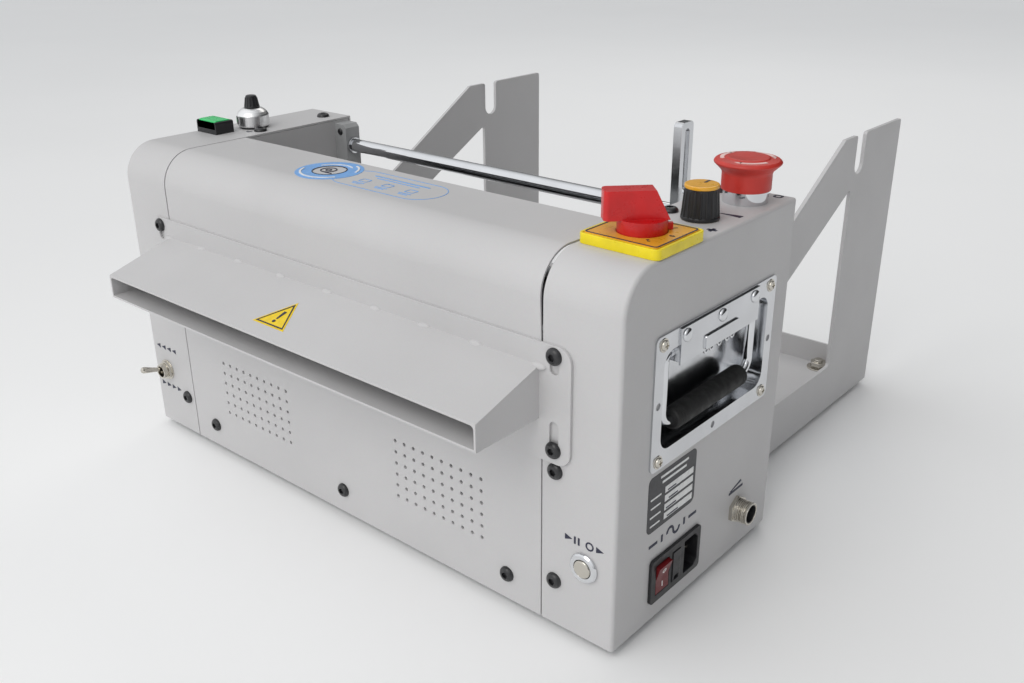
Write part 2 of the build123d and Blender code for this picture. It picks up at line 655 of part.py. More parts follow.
def make_dial():
    """Counting dial: fixed silver body with a window and a tapered turning knob."""
    x, y = DIAL
    body = rod((x, y, HEIGHT), UP, 11.0, 1.4) + rod((x, y, HEIGHT + 1.4), UP, 13.0, 9.6)
    body += rod((x, y, HEIGHT + 11), UP, 13.0, 5.0, tip=7.4)
    body -= Pos(x - 6, y - 12.0, HEIGHT + 7) * Box(4, 3, 5)
    body += rod((x, y, HEIGHT), (0, 0, -1), 4.5, 12) + rod((x, y, HEIGHT - 6), (0, 0, -1), 7.5, 14)
    place("dial_body", bored(body, (x, y, HEIGHT + 17), (0, 0, -1), 3.1, 14))
    knob = rod((x, y, HEIGHT + 16.2), UP, 6.8, 9.8, tip=4.8) + rod((x, y, HEIGHT + 5), UP, 3.05, 12)
    place("dial_knob", fillet(knob.edges().sort_by(Axis.Z)[-1], 0.6))


def make_toggle():
    """Bat-handle toggle switch; up and down set the feed's direction."""
    x, z = TOGGLE
    nut = Plane(origin=(x, -0.8, z), z_dir=(0, -1, 0)) * extrude(RegularPolygon(8.1, 6), amount=2.4)
    bush = rod((x, 0, z), FRONT, 8.6, 0.8) + nut + rod((x, 3, z), FRONT, 5.9, 10)
    bush += block((x - 6.5, x + 6.5), (SHEET + 0.1, 22), (z - 10, z + 10))
    bush = bored(bush, (x, -8, z), BACK, 4.6, 12)
    place("toggle_switch", bush)
    tilt = math.radians(TOGGLE_TILT)
    direction = (0, -math.cos(tilt), math.sin(tilt))
    lever = rod((x, 0, z), direction, 1.7, 22, tip=2.7)
    lever += Pos(x, 22 * direction[1], z + 22 * direction[2]) * Sphere(2.7)
    lever += rod((x - 1.5, 0, z), (1, 0, 0), 2.9, 3)
    place("toggle_lever", lever + Pos(x, 0, z) * Sphere(3.0))


def make_test_button():
    """Round metal push button with a chamfered ring and a domed plunger."""
    x, z = TEST
    ring_shape = rod((x, 0, z), FRONT, 9.75, 2.4)
    ring_shape = chamfer(ring_shape.edges().filter_by(GeomType.CIRCLE).sort_by(Axis.Y)[0], 1.2)
    ring_shape += rod((x, -1, z), BACK, 8.0, 22)
    place("test_button_bezel", bored(ring_shape, (x, -3, z), BACK, 6.15, 12))
    plunger = rod((x, -3.4, z), BACK, 5.85, 9)
    plunger = fillet(plunger.edges().filter_by(GeomType.CIRCLE).sort_by(Axis.Y)[0], 1.0)
    place("test_button_plunger", plunger)


def make_inlet():
    """Mains module: rocker switch, fuse drawer and inlet socket in one black face."""
    face = inlet_block((LENGTH, LENGTH + 2.2), 0)
    face = fillet(face.edges().filter_by(Axis.X), 3)
    housing = face + inlet_block((LENGTH - 24, LENGTH), 3.3)
    y, z = INLET
    rocker_y, fuse_y, socket_y = y - 15.5, y - 0.4, y + 16.5
    housing -= block((LENGTH - 10, LENGTH + 4), (rocker_y - 7.3, rocker_y + 7.3), (z - 10.6, z + 10.6))
    housing -= block((LENGTH - 20, LENGTH + 4), (fuse_y - 4.5, fuse_y + 4.5), (z - 11, z + 11))
    socket = block((LENGTH - 14, LENGTH + 4), (socket_y - 7.5, socket_y + 8), (z - 11.8, z + 11.8))
    corners = socket.edges().filter_by(Axis.X).sort_by(Axis.Y)[-2:]
    housing -= chamfer(corners, 3.5)
    place("inlet_housing", housing)

    upright = Plane(origin=(LENGTH, rocker_y - 7.0, z), x_dir=(0, 0, 1), z_dir=(0, 1, 0))
    outline = Polyline((-9.8, -3), (-9.8, 3.4), (0, 2.0), (9.8, 3.4), (9.8, -3), close=True)
    rocker = extrude(make_face(upright * outline), amount=14.0, dir=(0, 1, 0))
    rocker += rod((LENGTH - 1, rocker_y - 7.2, z), BACK, 1.5, 14.4)
    place("inlet_rocker", rocker.rotate(Axis((LENGTH - 1, rocker_y, z), (0, 1, 0)), ROCKER_TILT))

    drawer = block((LENGTH - 19.8, LENGTH + 2.8), (fuse_y - 4.3, fuse_y + 4.3), (z - 10.8, z + 10.8))
    drawer -= block((LENGTH + 1.2, LENGTH + 4), (fuse_y - 2.5, fuse_y + 2.5), (z - 10, z - 7))
    place("fuse_drawer", drawer)

    pins = []
    for pin_y, pin_z in ((socket_y - 2, z + 7), (socket_y - 2, z - 7), (socket_y + 3, z)):
        pins.append(block((LENGTH - 14, LENGTH - 3), (pin_y - 2, pin_y + 2), (pin_z - 1, pin_z + 1)))
    pedal_y, pedal_z = PEDAL
    for number in range(4):
        turn = math.radians(45 + 90 * number)
        point = (LENGTH + 1.5, pedal_y + 3 * math.cos(turn), pedal_z + 3 * math.sin(turn))
        pins.append(rod(point, (1, 0, 0), 0.8, 5))
    place("socket_pins", Compound(children=pins))


def make_pedal_socket():
    """Round threaded socket for the foot pedal."""
    y, z = PEDAL
    nut = Plane(origin=(LENGTH, y, z), z_dir=(1, 0, 0)) * extrude(RegularPolygon(10.0, 6), amount=2.8)
    shell = nut + rod((LENGTH - 12, y, z), (1, 0, 0), 7.9, 12 + SOCKET_REACH)
    for number in range(6):
        start = LENGTH + 4.0 + 1.2 * number
        groove = rod((start, y, z), (1, 0, 0), 9, 0.5) - rod((start - 1, y, z), (1, 0, 0), 7.4, 3)
        shell -= groove
    place("pedal_socket", bored(shell, (LENGTH + 1.5, y, z), (1, 0, 0), 6.5, 20))


def handle_dish():
    """Left end's handle pan: flat face plate with a deep pressed dish."""
    half_y, half_z = HANDLE_SIZE[0] / 2, HANDLE_SIZE[1] / 2
    y, z = (HANDLE_Y - half_y, HANDLE_Y + half_y), (HANDLE_Z - half_z, HANDLE_Z + half_z)
    face = block((-HANDLE_SHEET, 0), y, z)
    face = fillet(face.edges().filter_by(Axis.X), 4)
    dish_y = (HANDLE_Y - DISH_HALF, HANDLE_Y + DISH_HALF)
    wall = HANDLE_SHEET
    outer_y = (dish_y[0] - wall, dish_y[1] + wall)
    outer = block((-0.5, DISH_DEPTH), outer_y, (DISH_LOW - wall, DISH_HIGH + wall))
    hollow = block((-2, DISH_DEPTH - wall), dish_y, (DISH_LOW, DISH_HIGH))
    hollow = fillet(hollow.edges().filter_by(Axis.X), 9)
    pan = face + outer - hollow
    for hole_y, hole_z in HANDLE_FASTENERS:
        pan = bored(pan, (-3, hole_y, hole_z), (1, 0, 0), 2.1, 8)
    for hole_y, hole_z in ((HANDLE_Y - 63.2, HANDLE_Z), (HANDLE_Y + 63.2, HANDLE_Z), (HANDLE_Y, 112.4)):
        pan = bored(pan, (-3, hole_y, hole_z), (1, 0, 0), 2.2, 5)
    return pan


def bail():
    """Left end's folding wire handle, hanging down in the dish."""
    x = BAIL_IN
    bend = 9.0
    y = (HANDLE_Y - BAIL_HALF, HANDLE_Y + BAIL_HALF)
    inner = BAIL_HALF - 12
    corners = [
        (x, HANDLE_Y - inner, BAIL_PIVOT_Z), (x, y[0], BAIL_PIVOT_Z), (x, y[0], GRIP_Z),
        (x, y[1], GRIP_Z), (x, y[1], BAIL_PIVOT_Z), (x, HANDLE_Y + inner, BAIL_PIVOT_Z),
    ]
    path = FilletPolyline(*corners, radius=[4, bend, bend, 4])
    section = Plane(origin=corners[0], z_dir=(0, -1, 0)) * Circle(BAIL_WIRE)
    return sweep(section, path=path)


def bail_grip():
    """Rubber grip round the bail's lower run."""
    length = 2 * (BAIL_HALF - 10)
    start = (BAIL_IN, HANDLE_Y - length / 2, GRIP_Z)
    grip = rod(start, BACK, GRIP_RADIUS, length)
    grip = fillet(grip.edges().filter_by(GeomType.CIRCLE), 1.2)
    return bored(grip, (BAIL_IN, HANDLE_Y - length / 2 - 1, GRIP_Z), BACK, BAIL_WIRE, length + 2)


def hinge_cover():
    """Pressed cover riveted over the bail's ends, with a lug round each."""
    face = -HANDLE_SHEET
    half = BAIL_HALF - 5.5
    plate = block((face - 1.2, face), (HANDLE_Y - half, HANDLE_Y + half), (168, 190))
    raised = block((face - 2.4, face - 1.2), (HANDLE_Y - 19, HANDLE_Y + 19), (169, 177.5))
    cover = plate + fillet(raised.edges().filter_by(Axis.X), 1.5)
    for side in (-1, 1):
        middle = HANDLE_Y + side * (BAIL_HALF - 12)
        cover += block((face, BAIL_IN + 5), (middle - 4.5 + side, middle + 4.5 + side), (169, 179))
    return bored(cover, (BAIL_IN, HANDLE_Y - 60, BAIL_PIVOT_Z), BACK, BAIL_WIRE + RUNNING, 120)


def handle_fasteners():
    """Left handle's pan-head screws at the corners and domed rivets through the cover."""
    parts = []
    for y, z in HANDLE_FASTENERS:
        riveted = (y, z) in HANDLE_RIVETS
        seat = -HANDLE_SHEET - (1.2 if riveted else 0)
        head = rod((seat, y, z), (-1, 0, 0), 4.1, RIVET_HEAD)
        head = fillet(head.edges().filter_by(GeomType.CIRCLE).sort_by(Axis.X)[0], 1.6)
        parts.append(head + rod((seat, y, z), (1, 0, 0), 2.0, 5))
    return parts


def make_handles():
    cover = hinge_cover()
    for y, z in HANDLE_RIVETS:
        cover = bored(cover, (-5, y, z), (1, 0, 0), 2.1, 6)
    fasteners = handle_fasteners()
    place("left_handle_dish", handle_dish())
    place("right_handle_dish", mirrored(handle_dish()))
    place("left_handle_bail", bail())
    place("right_handle_bail", mirrored(bail()))
    place("left_handle_grip", bail_grip())
    place("right_handle_grip", mirrored(bail_grip()))
    place("handle_hinge_covers", Compound(children=[cover, mirrored(cover)]))
    place("handle_fasteners", Compound(children=fasteners + [mirrored(part) for part in fasteners]))


def main():
    make_base()
    make_feet()
    make_cabinets()
    make_bearing_plates()
    make_hood()
    make_panels()
    make_chute()
    make_screws()
    make_rollers()
    make_motor()
    make_electronics()
    make_guide_bar()
    make_paper_guide()
    make_brackets()
    make_tray()
    make_selector()
    make_speed_knob()
    make_stop_button()
    make_start_button()
    make_dial()
    make_toggle()
    make_test_button()
    make_inlet()
    make_pedal_socket()
    make_handles()
    os.makedirs("parts", exist_ok=True)
    for name, shape in PIECES.items():
        export_step(shape, f"parts/{name}.step")
    print(len(PIECES), "nodes written")


if __name__ == "__main__":
    main()
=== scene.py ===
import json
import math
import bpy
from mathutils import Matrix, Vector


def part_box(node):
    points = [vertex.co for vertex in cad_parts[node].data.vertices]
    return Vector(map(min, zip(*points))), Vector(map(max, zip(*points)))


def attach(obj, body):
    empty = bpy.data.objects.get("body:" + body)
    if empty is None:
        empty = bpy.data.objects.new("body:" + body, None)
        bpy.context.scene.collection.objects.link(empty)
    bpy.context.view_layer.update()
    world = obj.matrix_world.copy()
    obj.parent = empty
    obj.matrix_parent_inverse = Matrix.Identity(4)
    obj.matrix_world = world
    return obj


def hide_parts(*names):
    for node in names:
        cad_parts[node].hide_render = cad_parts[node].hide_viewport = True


bl_info = {
    "name": "Paper cushion machine",
    "version": (1, 0, 0),
    "blender": (4, 5, 0),
    "location": "View3D > Sidebar > Cushion machine",
    "description": "Builds the pieces, finishes and studio of a desktop paper cushion machine",
    "category": "Add Mesh",
}

import bmesh
import bpy
from mathutils import Matrix, Vector

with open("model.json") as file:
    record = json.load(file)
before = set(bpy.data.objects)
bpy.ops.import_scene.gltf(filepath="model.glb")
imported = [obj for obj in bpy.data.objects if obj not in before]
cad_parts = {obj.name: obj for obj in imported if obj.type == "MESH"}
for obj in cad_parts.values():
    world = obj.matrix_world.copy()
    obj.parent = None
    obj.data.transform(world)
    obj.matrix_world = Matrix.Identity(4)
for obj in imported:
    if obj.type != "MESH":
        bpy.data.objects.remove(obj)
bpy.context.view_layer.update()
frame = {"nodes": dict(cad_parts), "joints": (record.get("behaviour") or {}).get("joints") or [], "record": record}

MM = 0.001
CASE_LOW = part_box("left_cabinet")[0]
CASE_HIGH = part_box("right_cabinet")[1]
WIDTH = (CASE_HIGH.x - CASE_LOW.x) / MM
HEIGHT = (CASE_HIGH.z - CASE_LOW.z) / MM
MACHINE = "machine"
RIVET_STANDS_OUT = 3.7 * MM


def at(x, y, z):
    """Point from millimetres along the left end, back from the front and up from the underside."""
    return CASE_LOW + Vector((x, y, z)) * MM


def facing(origin, right, up):
    """Matrix whose X and Y run along a face and whose Z stands out from it."""
    x = Vector(right).normalized()
    y = Vector(up).normalized()
    z = x.cross(y)
    matrix = Matrix((x, y, z)).transposed().to_4x4()
    matrix.translation = origin
    return matrix


def standing(low, high, z):
    """Matrix at the middle of a box seen from above, at height z, whose Z points up."""
    return facing(Vector(((low.x + high.x) / 2, (low.y + high.y) / 2, z)), (1, 0, 0), (0, 1, 0))


def on_front(x, z, out=0.0):
    return facing(at(x, -out, z), (1, 0, 0), (0, 0, 1))


def on_top(x, y, z=HEIGHT):
    return facing(at(x, y, z), (1, 0, 0), (0, 1, 0))


def on_right(y, z, out=0.0):
    return facing(at(WIDTH + out, y, z), (0, 1, 0), (0, 0, 1))


# Sizes, colours and studio settings


def colour_setting(name, description, value):
    return bpy.props.FloatVectorProperty(
        name=name, description=description, subtype="COLOR", size=3, min=0, max=1, default=value
    )


class MachineColours(bpy.types.PropertyGroup):
    coat: colour_setting("Powder coat", "Colour of the coated sheet metal", (0.57, 0.563, 0.566))
    casting: colour_setting("Grey paint", "Colour of the guide bar's blocks", (0.36, 0.365, 0.37))
    red: colour_setting("Red plastic", "Colour of the stop button", (0.56, 0.035, 0.025))
    handle_red: colour_setting("Handle red", "Colour of the selector's handle", (0.6, 0.006, 0.008))
    yellow: colour_setting("Yellow plastic", "Colour of the selector's base", (0.9, 0.72, 0.005))
    amber: colour_setting(
        "Amber label", "Colour of the selector's label and the knob's cap", (0.84, 0.42, 0.025)
    )
    green: colour_setting("Green plastic", "Colour of the push button", (0.01, 0.6, 0.15))
    ink: colour_setting("Printing ink", "Colour of the printed symbols", (0.02, 0.022, 0.05))
    badge: colour_setting("Badge blue", "Colour of the badge on the hood", (0.18, 0.42, 0.83))


class MachineSizes(bpy.types.PropertyGroup):
    sheet_edge: bpy.props.FloatProperty(
        name="Sheet edge", description="Rounding of sheet metal edges", default=0.35 * MM, unit="LENGTH"
    )
    moulded_edge: bpy.props.FloatProperty(
        name="Moulded edge", description="Rounding of plastic edges", default=0.5 * MM, unit="LENGTH"
    )
    vent_rim: bpy.props.FloatProperty(
        name="Vent rim",
        description="Outside radius of the lip round each cooling hole",
        default=1.75 * MM,
        unit="LENGTH"
    )
    weld_bead: bpy.props.FloatProperty(
        name="Weld bead", description="Radius of a tack weld along the chute", default=3.0 * MM, unit="LENGTH"
    )
    print_height: bpy.props.FloatProperty(
        name="Print height",
        description="Thickness of printed symbols and labels",
        default=0.2 * MM,
        unit="LENGTH"
    )
    round_steps: bpy.props.IntProperty(
        name="Round steps", description="Sides of turned pieces", default=64, min=16, max=128
    )


class StudioSettings(bpy.types.PropertyGroup):
    azimuth: bpy.props.FloatProperty(
        name="Azimuth",
        description="Camera's turn from looking along +Y",
        default=math.radians(40.771),
        subtype="ANGLE"
    )
    elevation: bpy.props.FloatProperty(
        name="Elevation",
        description="Camera's height above the horizon",
        default=math.radians(23.464),
        subtype="ANGLE"
    )
    roll: bpy.props.FloatProperty(
        name="Roll", description="Camera's clockwise roll", default=math.radians(0.465), subtype="ANGLE"
    )
    lens: bpy.props.FloatProperty(
        name="Lens", description="Focal length in millimetres", default=36.24, min=10
    )
    stand: bpy.props.FloatVectorProperty(
        name="Camera place",
        description="Where the camera stands",
        default=at(744.28, -403.33, 410.14),
        subtype="TRANSLATION"
    )
    key_power: bpy.props.FloatProperty(
        name="Key light", description="Power of the main softbox", default=9.0, unit="POWER"
    )
    fill_power: bpy.props.FloatProperty(
        name="Fill light", description="Power of the rear softbox", default=5.0, unit="POWER"
    )
    sky: bpy.props.FloatProperty(name="Sky", description="Strength of the surrounding white", default=0.95)


def sizes():
    return bpy.context.scene.machine_sizes


def colours():
    return bpy.context.scene.machine_colours


# Finishes


def add_node(tree, kind, settings=None, **inputs):
    """New node with its settings, and its inputs set to values or linked to sockets."""
    made = tree.nodes.new(kind)
    for key, value in (settings or {}).items():
        setattr(made, key, value)
    for key, value in inputs.items():
        socket = made.inputs[key.replace("_", " ")]
        if isinstance(value, bpy.types.NodeSocket):
            tree.links.new(value, socket)
        else:
            socket.default_value = value
    return made


def shaded(colour, factor):
    return (*[min(1.0, channel * factor) for channel in colour], 1.0)


def surface_tree(name):
    """Material with an empty node tree, its shader, and its object coordinates."""
    material = bpy.data.materials.new(name)
    material.use_nodes = True
    tree = material.node_tree
    tree.nodes.clear()
    shader = add_node(tree, "ShaderNodeBsdfPrincipled")
    output = add_node(tree, "ShaderNodeOutputMaterial")
    tree.links.new(shader.outputs["BSDF"], output.inputs["Surface"])
    place = add_node(tree, "ShaderNodeTexCoord").outputs["Object"]
    return material, tree, shader, place


def drift(tree, place, scale, low, high, detail=3.0):
    """Slow noise turned into a value between low and high."""
    noise = add_node(tree, "ShaderNodeTexNoise", Vector=place, Scale=scale, Detail=detail, Roughness=0.55)
    spread = add_node(tree, "ShaderNodeMapRange", Value=noise.outputs["Fac"], From_Min=0.3, From_Max=0.7)
    spread.inputs["To Min"].default_value = low
    spread.inputs["To Max"].default_value = high
    return spread.outputs["Result"]


def tint(tree, factor, colour, dark, light):
    """Colour that drifts between two shades."""
    ramp = add_node(tree, "ShaderNodeValToRGB", Fac=factor)
    ramp.color_ramp.elements[0].color = shaded(colour, dark)
    ramp.color_ramp.elements[1].color = shaded(colour, light)
    return ramp.outputs["Color"]


def relief(tree, shader, height, strength, distance):
    bump = add_node(tree, "ShaderNodeBump", Height=height, Strength=strength, Distance=distance)
    tree.links.new(bump.outputs["Normal"], shader.inputs["Normal"])


def powder_coat():
    """Fine orange-peel coating with faint handling marks."""
    colour = colours().coat
    material, tree, shader, place = surface_tree("powder_coat")
    cloud = drift(tree, place, 9.0, 0.0, 1.0)
    base = tint(tree, cloud, colour, 0.965, 1.02)
    speck = add_node(tree, "ShaderNodeTexNoise", Vector=place, Scale=650.0, Detail=2.0)
    mixed = add_node(tree, "ShaderNodeMix", {"data_type": "RGBA", "blend_type": "MULTIPLY"})
    mixed.inputs[0].default_value = 0.05
    tree.links.new(base, mixed.inputs[6])
    tree.links.new(speck.outputs["Color"], mixed.inputs[7])
    tree.links.new(mixed.outputs[2], shader.inputs["Base Color"])
    tree.links.new(drift(tree, place, 30.0, 0.42, 0.54, detail=5.0), shader.inputs["Roughness"])
    peel = add_node(tree, "ShaderNodeTexNoise", Vector=place, Scale=900.0, Detail=2.0, Roughness=0.5)
    relief(tree, shader, peel.outputs["Fac"], 0.16, 0.0004)
    shader.inputs["Specular IOR Level"].default_value = 0.4
    return material


def moulded(name, colour, roughness, grain=0.12, coat=0.0):
    """Moulded plastic: slight colour drift, fine texture, rubbed patches."""
    material, tree, shader, place = surface_tree(name)
    tree.links.new(
        tint(tree, drift(tree, place, 60.0, 0, 1), colour, 0.86, 1.08), shader.inputs["Base Color"]
    )
    rubbed = drift(tree, place, 160.0, roughness * 0.75, min(1.0, roughness * 1.3), detail=6.0)
    tree.links.new(rubbed, shader.inputs["Roughness"])
    texture = add_node(tree, "ShaderNodeTexNoise", Vector=place, Scale=2600.0, Detail=2.0)
    relief(tree, shader, texture.outputs["Fac"], grain, 0.0002)
    shader.inputs["Coat Weight"].default_value = coat
    shader.inputs["Coat Roughness"].default_value = 0.12
    return material


def plated(name, colour, roughness, smear=0.2):
    """Bright plating with faint fingerprints and a slightly uneven surface."""
    material, tree, shader, place = surface_tree(name)
    tree.links.new(
        tint(tree, drift(tree, place, 35.0, 0, 1), colour, 0.93, 1.04), shader.inputs["Base Color"]
    )
    prints = drift(tree, place, 90.0, roughness * (1 - smear), roughness * (1 + 2 * smear), detail=8.0)
    tree.links.new(prints, shader.inputs["Roughness"])
    wave = add_node(tree, "ShaderNodeTexNoise", Vector=place, Scale=70.0, Detail=2.0)
    relief(tree, shader, wave.outputs["Fac"], 0.03, 0.0003)
    shader.inputs["Metallic"].default_value = 1.0
    return material


def brushed(name, colour, roughness, stretch=(1.0, 40.0, 40.0)):
    """Metal with fine lines along one axis, stretched least along that axis."""
    material, tree, shader, place = surface_tree(name)
    lines = add_node(tree, "ShaderNodeMapping", Vector=place)
    lines.inputs["Scale"].default_value = stretch
    hair = add_node(tree, "ShaderNodeTexNoise", Vector=lines.outputs["Vector"], Scale=55.0, Detail=5.0)
    tree.links.new(tint(tree, hair.outputs["Fac"], colour, 0.8, 1.15), shader.inputs["Base Color"])
    spread = add_node(tree, "ShaderNodeMapRange", Value=hair.outputs["Fac"])
    spread.inputs["To Min"].default_value = roughness * 0.7
    spread.inputs["To Max"].default_value = min(1.0, roughness * 1.4)
    tree.links.new(spread.outputs["Result"], shader.inputs["Roughness"])
    relief(tree, shader, hair.outputs["Fac"], 0.12, 0.0002)
    shader.inputs["Metallic"].default_value = 1.0
    return material


def printed(name, colour, roughness=0.5):
    """Ink or label film: near-even colour with a slightly mottled sheen."""
    material, tree, shader, place = surface_tree(name)
    tree.links.new(
        tint(tree, drift(tree, place, 300.0, 0, 1), colour, 0.88, 1.06), shader.inputs["Base Color"]
    )
    tree.links.new(drift(tree, place, 500.0, roughness * 0.8, roughness * 1.2), shader.inputs["Roughness"])
    weave = add_node(tree, "ShaderNodeTexNoise", Vector=place, Scale=1800.0)
    relief(tree, shader, weave.outputs["Fac"], 0.05, 0.0001)
    return material


FINISH = {}


def make_finishes():
    tone = colours()
    FINISH["coat"] = powder_coat()
    FINISH["casting"] = moulded("grey_casting_paint", tone.casting, 0.42, grain=0.3)
    FINISH["chrome"] = plated("bright_chrome", (0.72, 0.73, 0.75), 0.05)
    FINISH["nickel"] = plated("nickel_plate", (0.6, 0.57, 0.51), 0.13)
    FINISH["pressed"] = plated("plated_pressing", (0.66, 0.67, 0.69), 0.15)
    FINISH["zinc"] = brushed("zinc_sheet", (0.56, 0.57, 0.58), 0.42)
    FINISH["turned"] = brushed("turned_steel", (0.5, 0.51, 0.52), 0.3, stretch=(40.0, 1.0, 1.0))
    FINISH["gear"] = brushed("cut_gear_steel", (0.34, 0.34, 0.35), 0.4, stretch=(40.0, 6.0, 6.0))
    FINISH["aluminium"] = brushed("satin_aluminium", (0.88, 0.885, 0.89), 0.3, stretch=(30.0, 30.0, 2.0))
    FINISH["brass"] = plated("bare_brass", (0.72, 0.5, 0.2), 0.22)
    FINISH["oxide"] = moulded("black_oxide", (0.018, 0.018, 0.02), 0.36, grain=0.2, coat=0.2)
    FINISH["black"] = moulded("black_moulding", (0.014, 0.014, 0.016), 0.38, grain=0.18)
    FINISH["rubber"] = moulded("black_rubber", (0.014, 0.014, 0.014), 0.68, grain=0.4)
    FINISH["red"] = moulded("red_button_plastic", tone.red, 0.4, grain=0.08)
    FINISH["handle_red"] = moulded("red_handle_plastic", tone.handle_red, 0.3, grain=0.05, coat=0.08)
    FINISH["yellow"] = moulded("yellow_plastic", tone.yellow, 0.32, grain=0.05, coat=0.1)
    FINISH["amber"] = moulded("amber_plastic", tone.amber, 0.3, grain=0.04, coat=0.4)
    FINISH["green"] = moulded("green_button_plastic", tone.green, 0.28, grain=0.04, coat=0.1)
    FINISH["lamp"] = moulded("red_lamp_plastic", (0.15, 0.004, 0.007), 0.36, grain=0.02)
    FINISH["enamel"] = moulded("motor_enamel", (0.03, 0.03, 0.033), 0.3, grain=0.3, coat=0.3)
    FINISH["board"] = moulded("board_green", (0.01, 0.12, 0.05), 0.3, grain=0.2, coat=0.3)
    FINISH["ink"] = printed("symbol_ink", tone.ink)
    FINISH["white_ink"] = printed("white_ink", (0.82, 0.82, 0.82))
    FINISH["rose_ink"] = printed("arrow_ink", (0.85, 0.6, 0.57))
    FINISH["badge"] = printed("badge_film", tone.badge, 0.35)
    FINISH["plate_black"] = printed("rating_plate_black", (0.03, 0.03, 0.035), 0.35)
    FINISH["warning"] = printed("warning_film", (0.88, 0.62, 0.0), 0.35)


# Mesh helpers


def to_piece(name, mesh, finish, body, sharp=32.0):
    """Object at the origin from a finished mesh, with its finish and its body."""
    if not mesh.materials:
        mesh.materials.append(FINISH[finish])
    mesh.shade_smooth()
    mesh.set_sharp_from_angle(angle=math.radians(sharp))
    mesh = with_modifiers(mesh, keep_flats)
    mesh.name = name
    piece = bpy.data.objects.new(name, mesh)
    bpy.context.scene.collection.objects.link(piece)
    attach(piece, body)
    return piece


def mesh_of(bm, place=None):
    """Plain mesh from a bmesh, moved to its place, with its faces turned outwards."""
    if place is not None:
        bm.transform(place)
    bmesh.ops.recalc_face_normals(bm, faces=bm.faces)
    mesh = bpy.data.meshes.new("work")
    bm.to_mesh(mesh)
    bm.free()
    return mesh


def with_modifiers(mesh, build):
    """Mesh after the modifiers that build adds to a passing object."""
    passing = bpy.data.objects.new("passing", mesh)
    bpy.context.scene.collection.objects.link(passing)
    build(passing)
    bpy.context.view_layer.update()
    result = bpy.data.meshes.new_from_object(passing.evaluated_get(bpy.context.evaluated_depsgraph_get()))
    bpy.data.objects.remove(passing)
    return result


def keep_flats(passing):
    """Makes flat faces shade flat beside their rounded edges."""
    modifier = passing.modifiers.new("flats", "WEIGHTED_NORMAL")
    modifier.weight = 100
    modifier.keep_sharp = True


def bevelled(mesh, width, segments=2, angle=30.0):
    """Mesh with its sharper edges rounded."""

    def build(passing):
        modifier = passing.modifiers.new("edge", "BEVEL")
        modifier.width = width
        modifier.segments = segments
        modifier.limit_method = "ANGLE"
        modifier.angle_limit = math.radians(angle)
        modifier.use_clamp_overlap = True

    return with_modifiers(mesh, build)


def joined_mesh(node):
    """Copy of a CAD node's mesh with its triangles joined and its flat faces merged."""
    bm = bmesh.new()
    bm.from_mesh(frame["nodes"][node].data)
    bmesh.ops.remove_doubles(bm, verts=bm.verts, dist=2e-6)
    bmesh.ops.dissolve_limit(bm, angle_limit=math.radians(0.6), verts=bm.verts, edges=bm.edges)
    mesh = bpy.data.meshes.new("work")
    bm.to_mesh(mesh)
    bm.free()
    return mesh


def body_of(node):
    for body, nodes in frame["record"]["behaviour"]["bodies"].items():
        if node in nodes:
            return body


def eased(node, finish, width, segments=2, angle=30.0, sharp=35.0):
    """Piece that stands for a CAD node, with eased edges that catch the light."""
    mesh = bevelled(joined_mesh(node), width, segments, angle)
    mesh.materials.clear()
    piece = to_piece(node + "_piece", mesh, finish, body_of(node), sharp)
    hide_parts(node)
    return piece


def repaint(node, finish):
    """Gives a CAD node that keeps its own shape its finish."""
    mesh = frame["nodes"][node].data
    mesh.materials.clear()
    mesh.materials.append(FINISH[finish])


def islands(node):
    """Lowest and highest corners of each separate solid in a CAD node."""
    bm = bmesh.new()
    bm.from_mesh(frame["nodes"][node].data)
    bmesh.ops.remove_doubles(bm, verts=bm.verts, dist=2e-6)
    left = set(bm.verts)
    found = []
    while left:
        group = set()
        reach = [left.pop()]
        while reach:
            vert = reach.pop()
            group.add(vert)
            for edge in vert.link_edges:
                other = edge.other_vert(vert)
                if other in left:
                    left.discard(other)
                    reach.append(other)
        low = Vector([min(v.co[i] for v in group) for i in range(3)])
        high = Vector([max(v.co[i] for v in group) for i in range(3)])
        found.append((low, high))
    bm.free()
    return sorted(found, key=lambda pair: tuple(round(value, 4) for value in pair[0]))


def turned_mesh(profile, place, steps=None, ease=0.0):
    """Turned solid from (radius, height) points in millimetres, bottom to top, about Z of its place."""
    steps = steps or sizes().round_steps
    if ease:
        profile = eased_profile(profile, ease)
    bm = bmesh.new()
    rings = []
    for radius, height in profile:
        if radius < 1e-6:
            rings.append([bm.verts.new((0, 0, height * MM))])
            continue
        turns = [2 * math.pi * step / steps for step in range(steps)]
        rings.append(
            [
                bm.verts.new((radius * MM * math.cos(t), radius * MM * math.sin(t), height * MM))
                for t in turns
            ]
        )
    pairs = list(zip(rings, rings[1:]))
    if len(rings[0]) > 1 and len(rings[-1]) > 1:
        pairs.append((rings[-1], rings[0]))
    for lower, upper in pairs:
        for step in range(steps):
            after = (step + 1) % steps
            corners = [
                lower[step % len(lower)], lower[after % len(lower)], upper[after % len(upper)],
                upper[step % len(upper)],
            ]
            face = list(dict.fromkeys(corners))
            if len(face) > 2:
                bm.faces.new(face)
    return mesh_of(bm, place)


